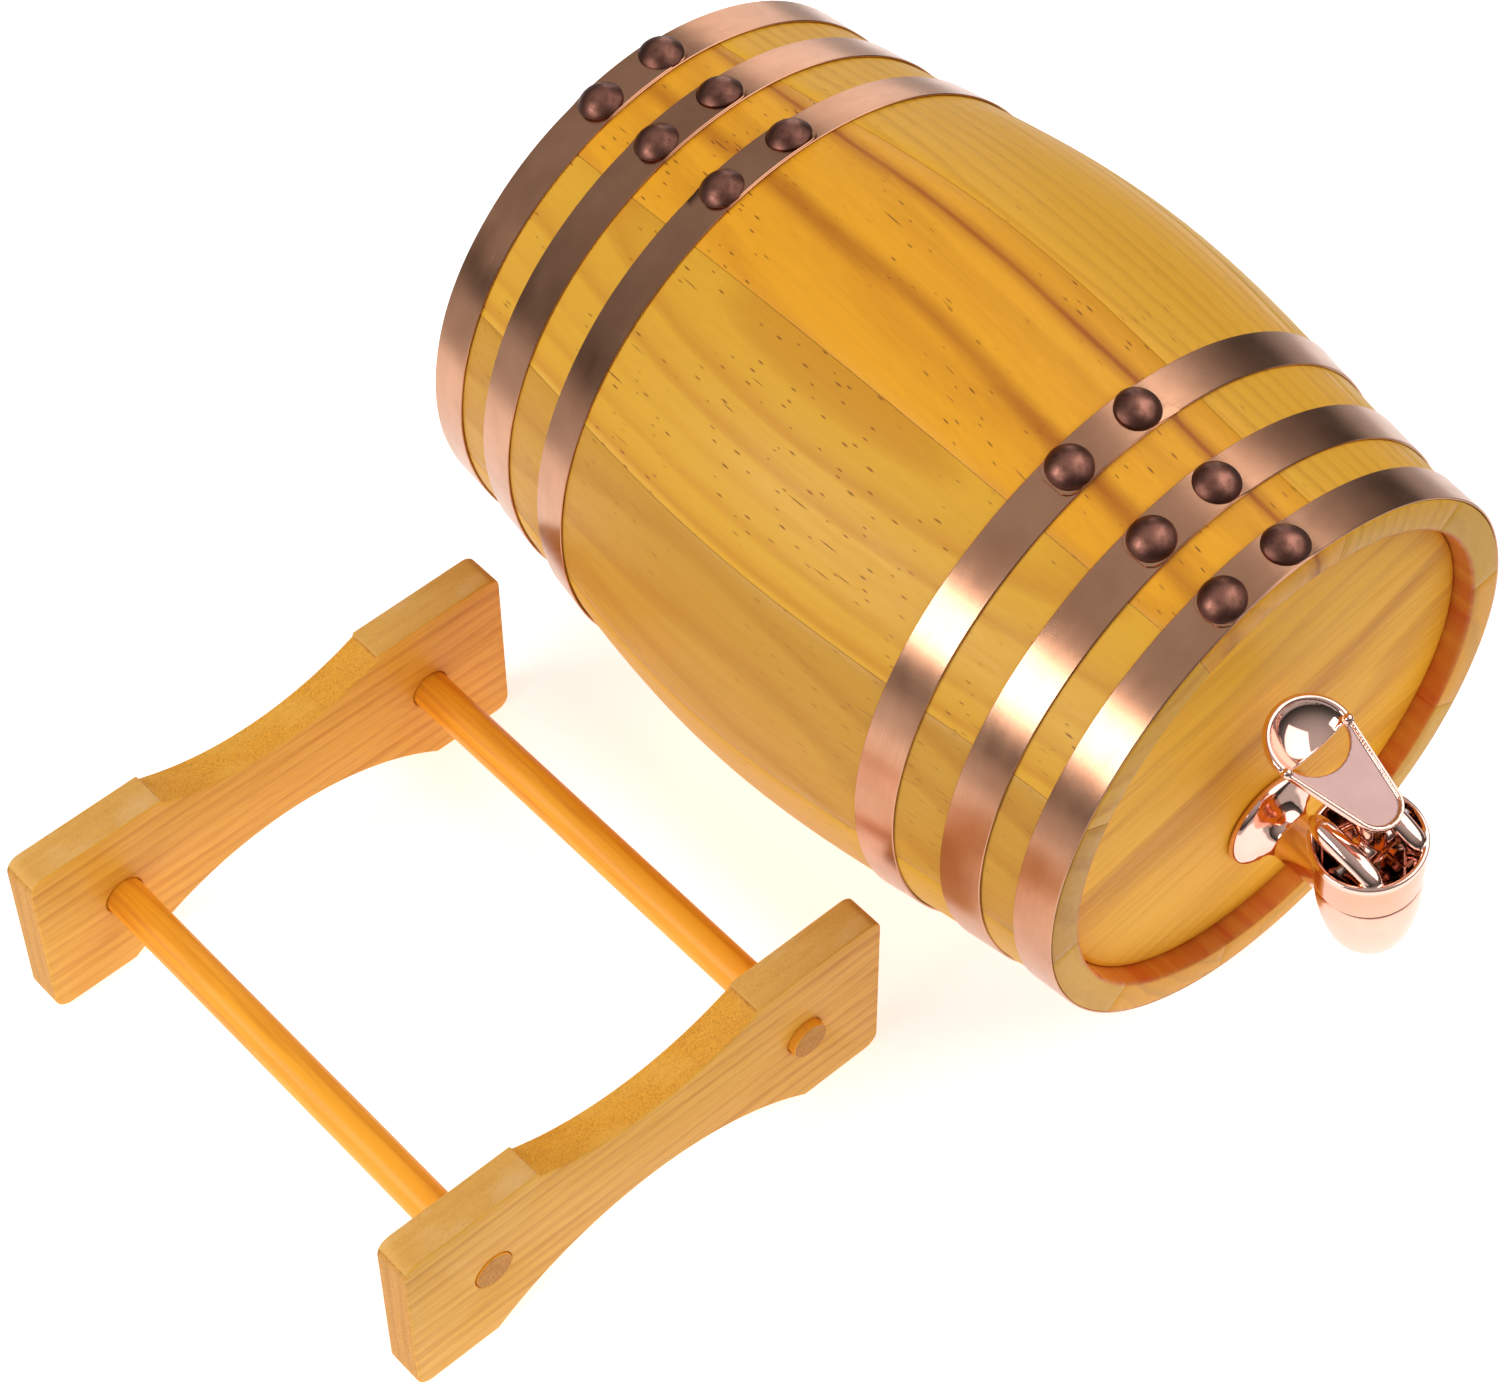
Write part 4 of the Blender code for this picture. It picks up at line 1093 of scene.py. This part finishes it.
def make_camera():
    """A long lens that looks down steeply past the tapped end. Its place is counted in bilge radii."""
    azimuth, elevation, roll = radians(-42.12), radians(52.554), radians(0.148)
    distance, left, down = 11.8039, 0.4906, 0.7088
    flat = cos(elevation)
    right = Vector((cos(azimuth), sin(azimuth), 0))
    back = Vector((sin(azimuth) * flat, -cos(azimuth) * flat, sin(elevation)))
    up = back.cross(right)
    right, up = cos(roll) * right + sin(roll) * up, cos(roll) * up - sin(roll) * right
    data = bpy.data.cameras.new("camera")
    data.sensor_width = 36
    data.lens = 99.83
    data.shift_x = -0.0216
    data.shift_y = 0.0339
    data.clip_start = 0.02
    camera = placed("camera", data)
    matrix = Matrix((right, up, back)).transposed().to_4x4()
    offset = distance * back - left * right - down * up
    matrix.translation = Vector((BARREL_X, BARREL_Y, BILGE_RADIUS)) + BILGE_RADIUS * offset
    camera.matrix_world = matrix
    bpy.context.scene.camera = camera


# ---------------- build

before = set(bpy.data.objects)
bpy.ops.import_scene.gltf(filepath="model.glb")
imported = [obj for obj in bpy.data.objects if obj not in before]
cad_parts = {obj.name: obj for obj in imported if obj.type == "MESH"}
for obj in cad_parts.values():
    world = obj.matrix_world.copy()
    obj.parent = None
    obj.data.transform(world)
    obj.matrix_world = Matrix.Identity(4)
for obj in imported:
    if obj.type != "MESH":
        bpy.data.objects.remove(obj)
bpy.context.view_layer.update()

head_wood = wood(
    "head_board", rgb(255, 188, 40), rgb(206, 124, 16), 31, turn=(0, 0, QUARTER), slant=2,
    pith=(-0.06, -0.03), spacing=0.0045, contrast=0.75, wander=0.005, fibre=0.9, roughness=0.55, coat=0.03,
)
bung_wood = wood(
    "bung_wood", rgb(206, 150, 70), rgb(160, 100, 36), 32, spacing=0.004, roughness=0.55, coat=0.05,
)
board_wood = wood(
    "board", rgb(238, 176, 62), rgb(198, 118, 16), 33, turn=(QUARTER, 0, QUARTER), slant=3, pith=(0.0, -0.14),
    spacing=0.005, contrast=0.6, wander=0.006, fibre=1.1, patches=0.6,
)
rough_wood = wood(
    "sawn_board", rgb(236, 166, 52), rgb(196, 112, 18), 34, turn=(QUARTER, 0, QUARTER), pith=(0.0, -0.14),
    spacing=0.008, contrast=0.3, fibre=0.3, patches=0.6, roughness=0.6, coat=0.0, speckle=0.55,
)
top_wood = wood(
    "board_top", rgb(226, 170, 84), rgb(196, 128, 44), 37, turn=(QUARTER, 0, QUARTER), pith=(0.0, -0.14),
    spacing=0.004, contrast=0.4, fibre=0.6, roughness=0.6, coat=0.0, speckle=0.15,
)
end_wood = wood(
    "board_end", rgb(214, 150, 60), rgb(150, 90, 24), 38, pith=(0.0, -0.14),
    spacing=0.003, contrast=0.5, fibre=0.4, patches=0.8, roughness=0.6, coat=0.0, speckle=0.5,
)
dowel_wood = wood(
    "dowel", rgb(246, 166, 36), rgb(196, 100, 8), 35, pith=(0.02, -0.02), spacing=0.004, contrast=0.45,
    fibre=1.1, patches=0.8, roughness=0.46, coat=0.10,
)
dowel_end = wood(
    "dowel_end", rgb(214, 146, 60), rgb(150, 84, 20), 36, pith=(0.02, -0.02), spacing=0.002, contrast=0.3,
    roughness=0.6, coat=0.0, speckle=0.8,
)
hoop_metal = copper("hoop_copper", rgb(212, 160, 128), rgb(180, 128, 98), 0.24)
hoop_edge = copper("hoop_edge", rgb(110, 66, 48), rgb(70, 40, 30), 0.4, 0.3)
rivets = rivet_metal("rivet_copper")
rose = plating("rose_plating", rgb(246, 205, 190), rgb(243, 198, 182), 0.08)
peach = plating("peach_plating", rgb(237, 172, 146), rgb(234, 166, 138), 0.16)
pale = plating("pale_plating", rgb(242, 192, 172), rgb(240, 186, 164), 0.20)
satin = plating("satin_plating", rgb(190, 156, 150), rgb(184, 149, 142), 0.34)
steel = plain("steel", rgb(190, 190, 190), rgb(170, 170, 172), 0.3, 1.0)
silicone = plain("silicone", rgb(225, 222, 214), rgb(212, 208, 198), 0.5)

make_staves(stave_woods())
make_heads(head_wood, bung_wood)
for number, band in enumerate(HOOPS, 1):
    make_hoop(number, band, hoop_metal, hoop_edge)
    make_rivets(number, band, rivets)
make_tap_body(pale, rose)
make_bonnet(rose, peach)
make_lever(rose, satin)
paint_small(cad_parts, steel, silicone, rose)
for name, front in BOARDS.items():
    make_board(name, front, (board_wood, rough_wood, top_wood, end_wood))
make_dowel("left_dowel", -1, 0.0003, dowel_wood, dowel_end)
make_dowel("right_dowel", 1, 0.0022, dowel_wood, dowel_end)
make_floor()
make_world()
softbox("key_left", azimuth=76, elevation=28, distance=1.25, width=0.95, height=0.46, watts=9.5)
softbox("back_right", azimuth=-46, elevation=14, distance=1.3, width=0.5, height=0.7, watts=1.5)
softbox("front_right", azimuth=-126, elevation=50, distance=1.6, width=2.0, height=1.6, watts=16.0)
make_camera()
bpy.context.scene.view_settings.view_transform = "Standard"
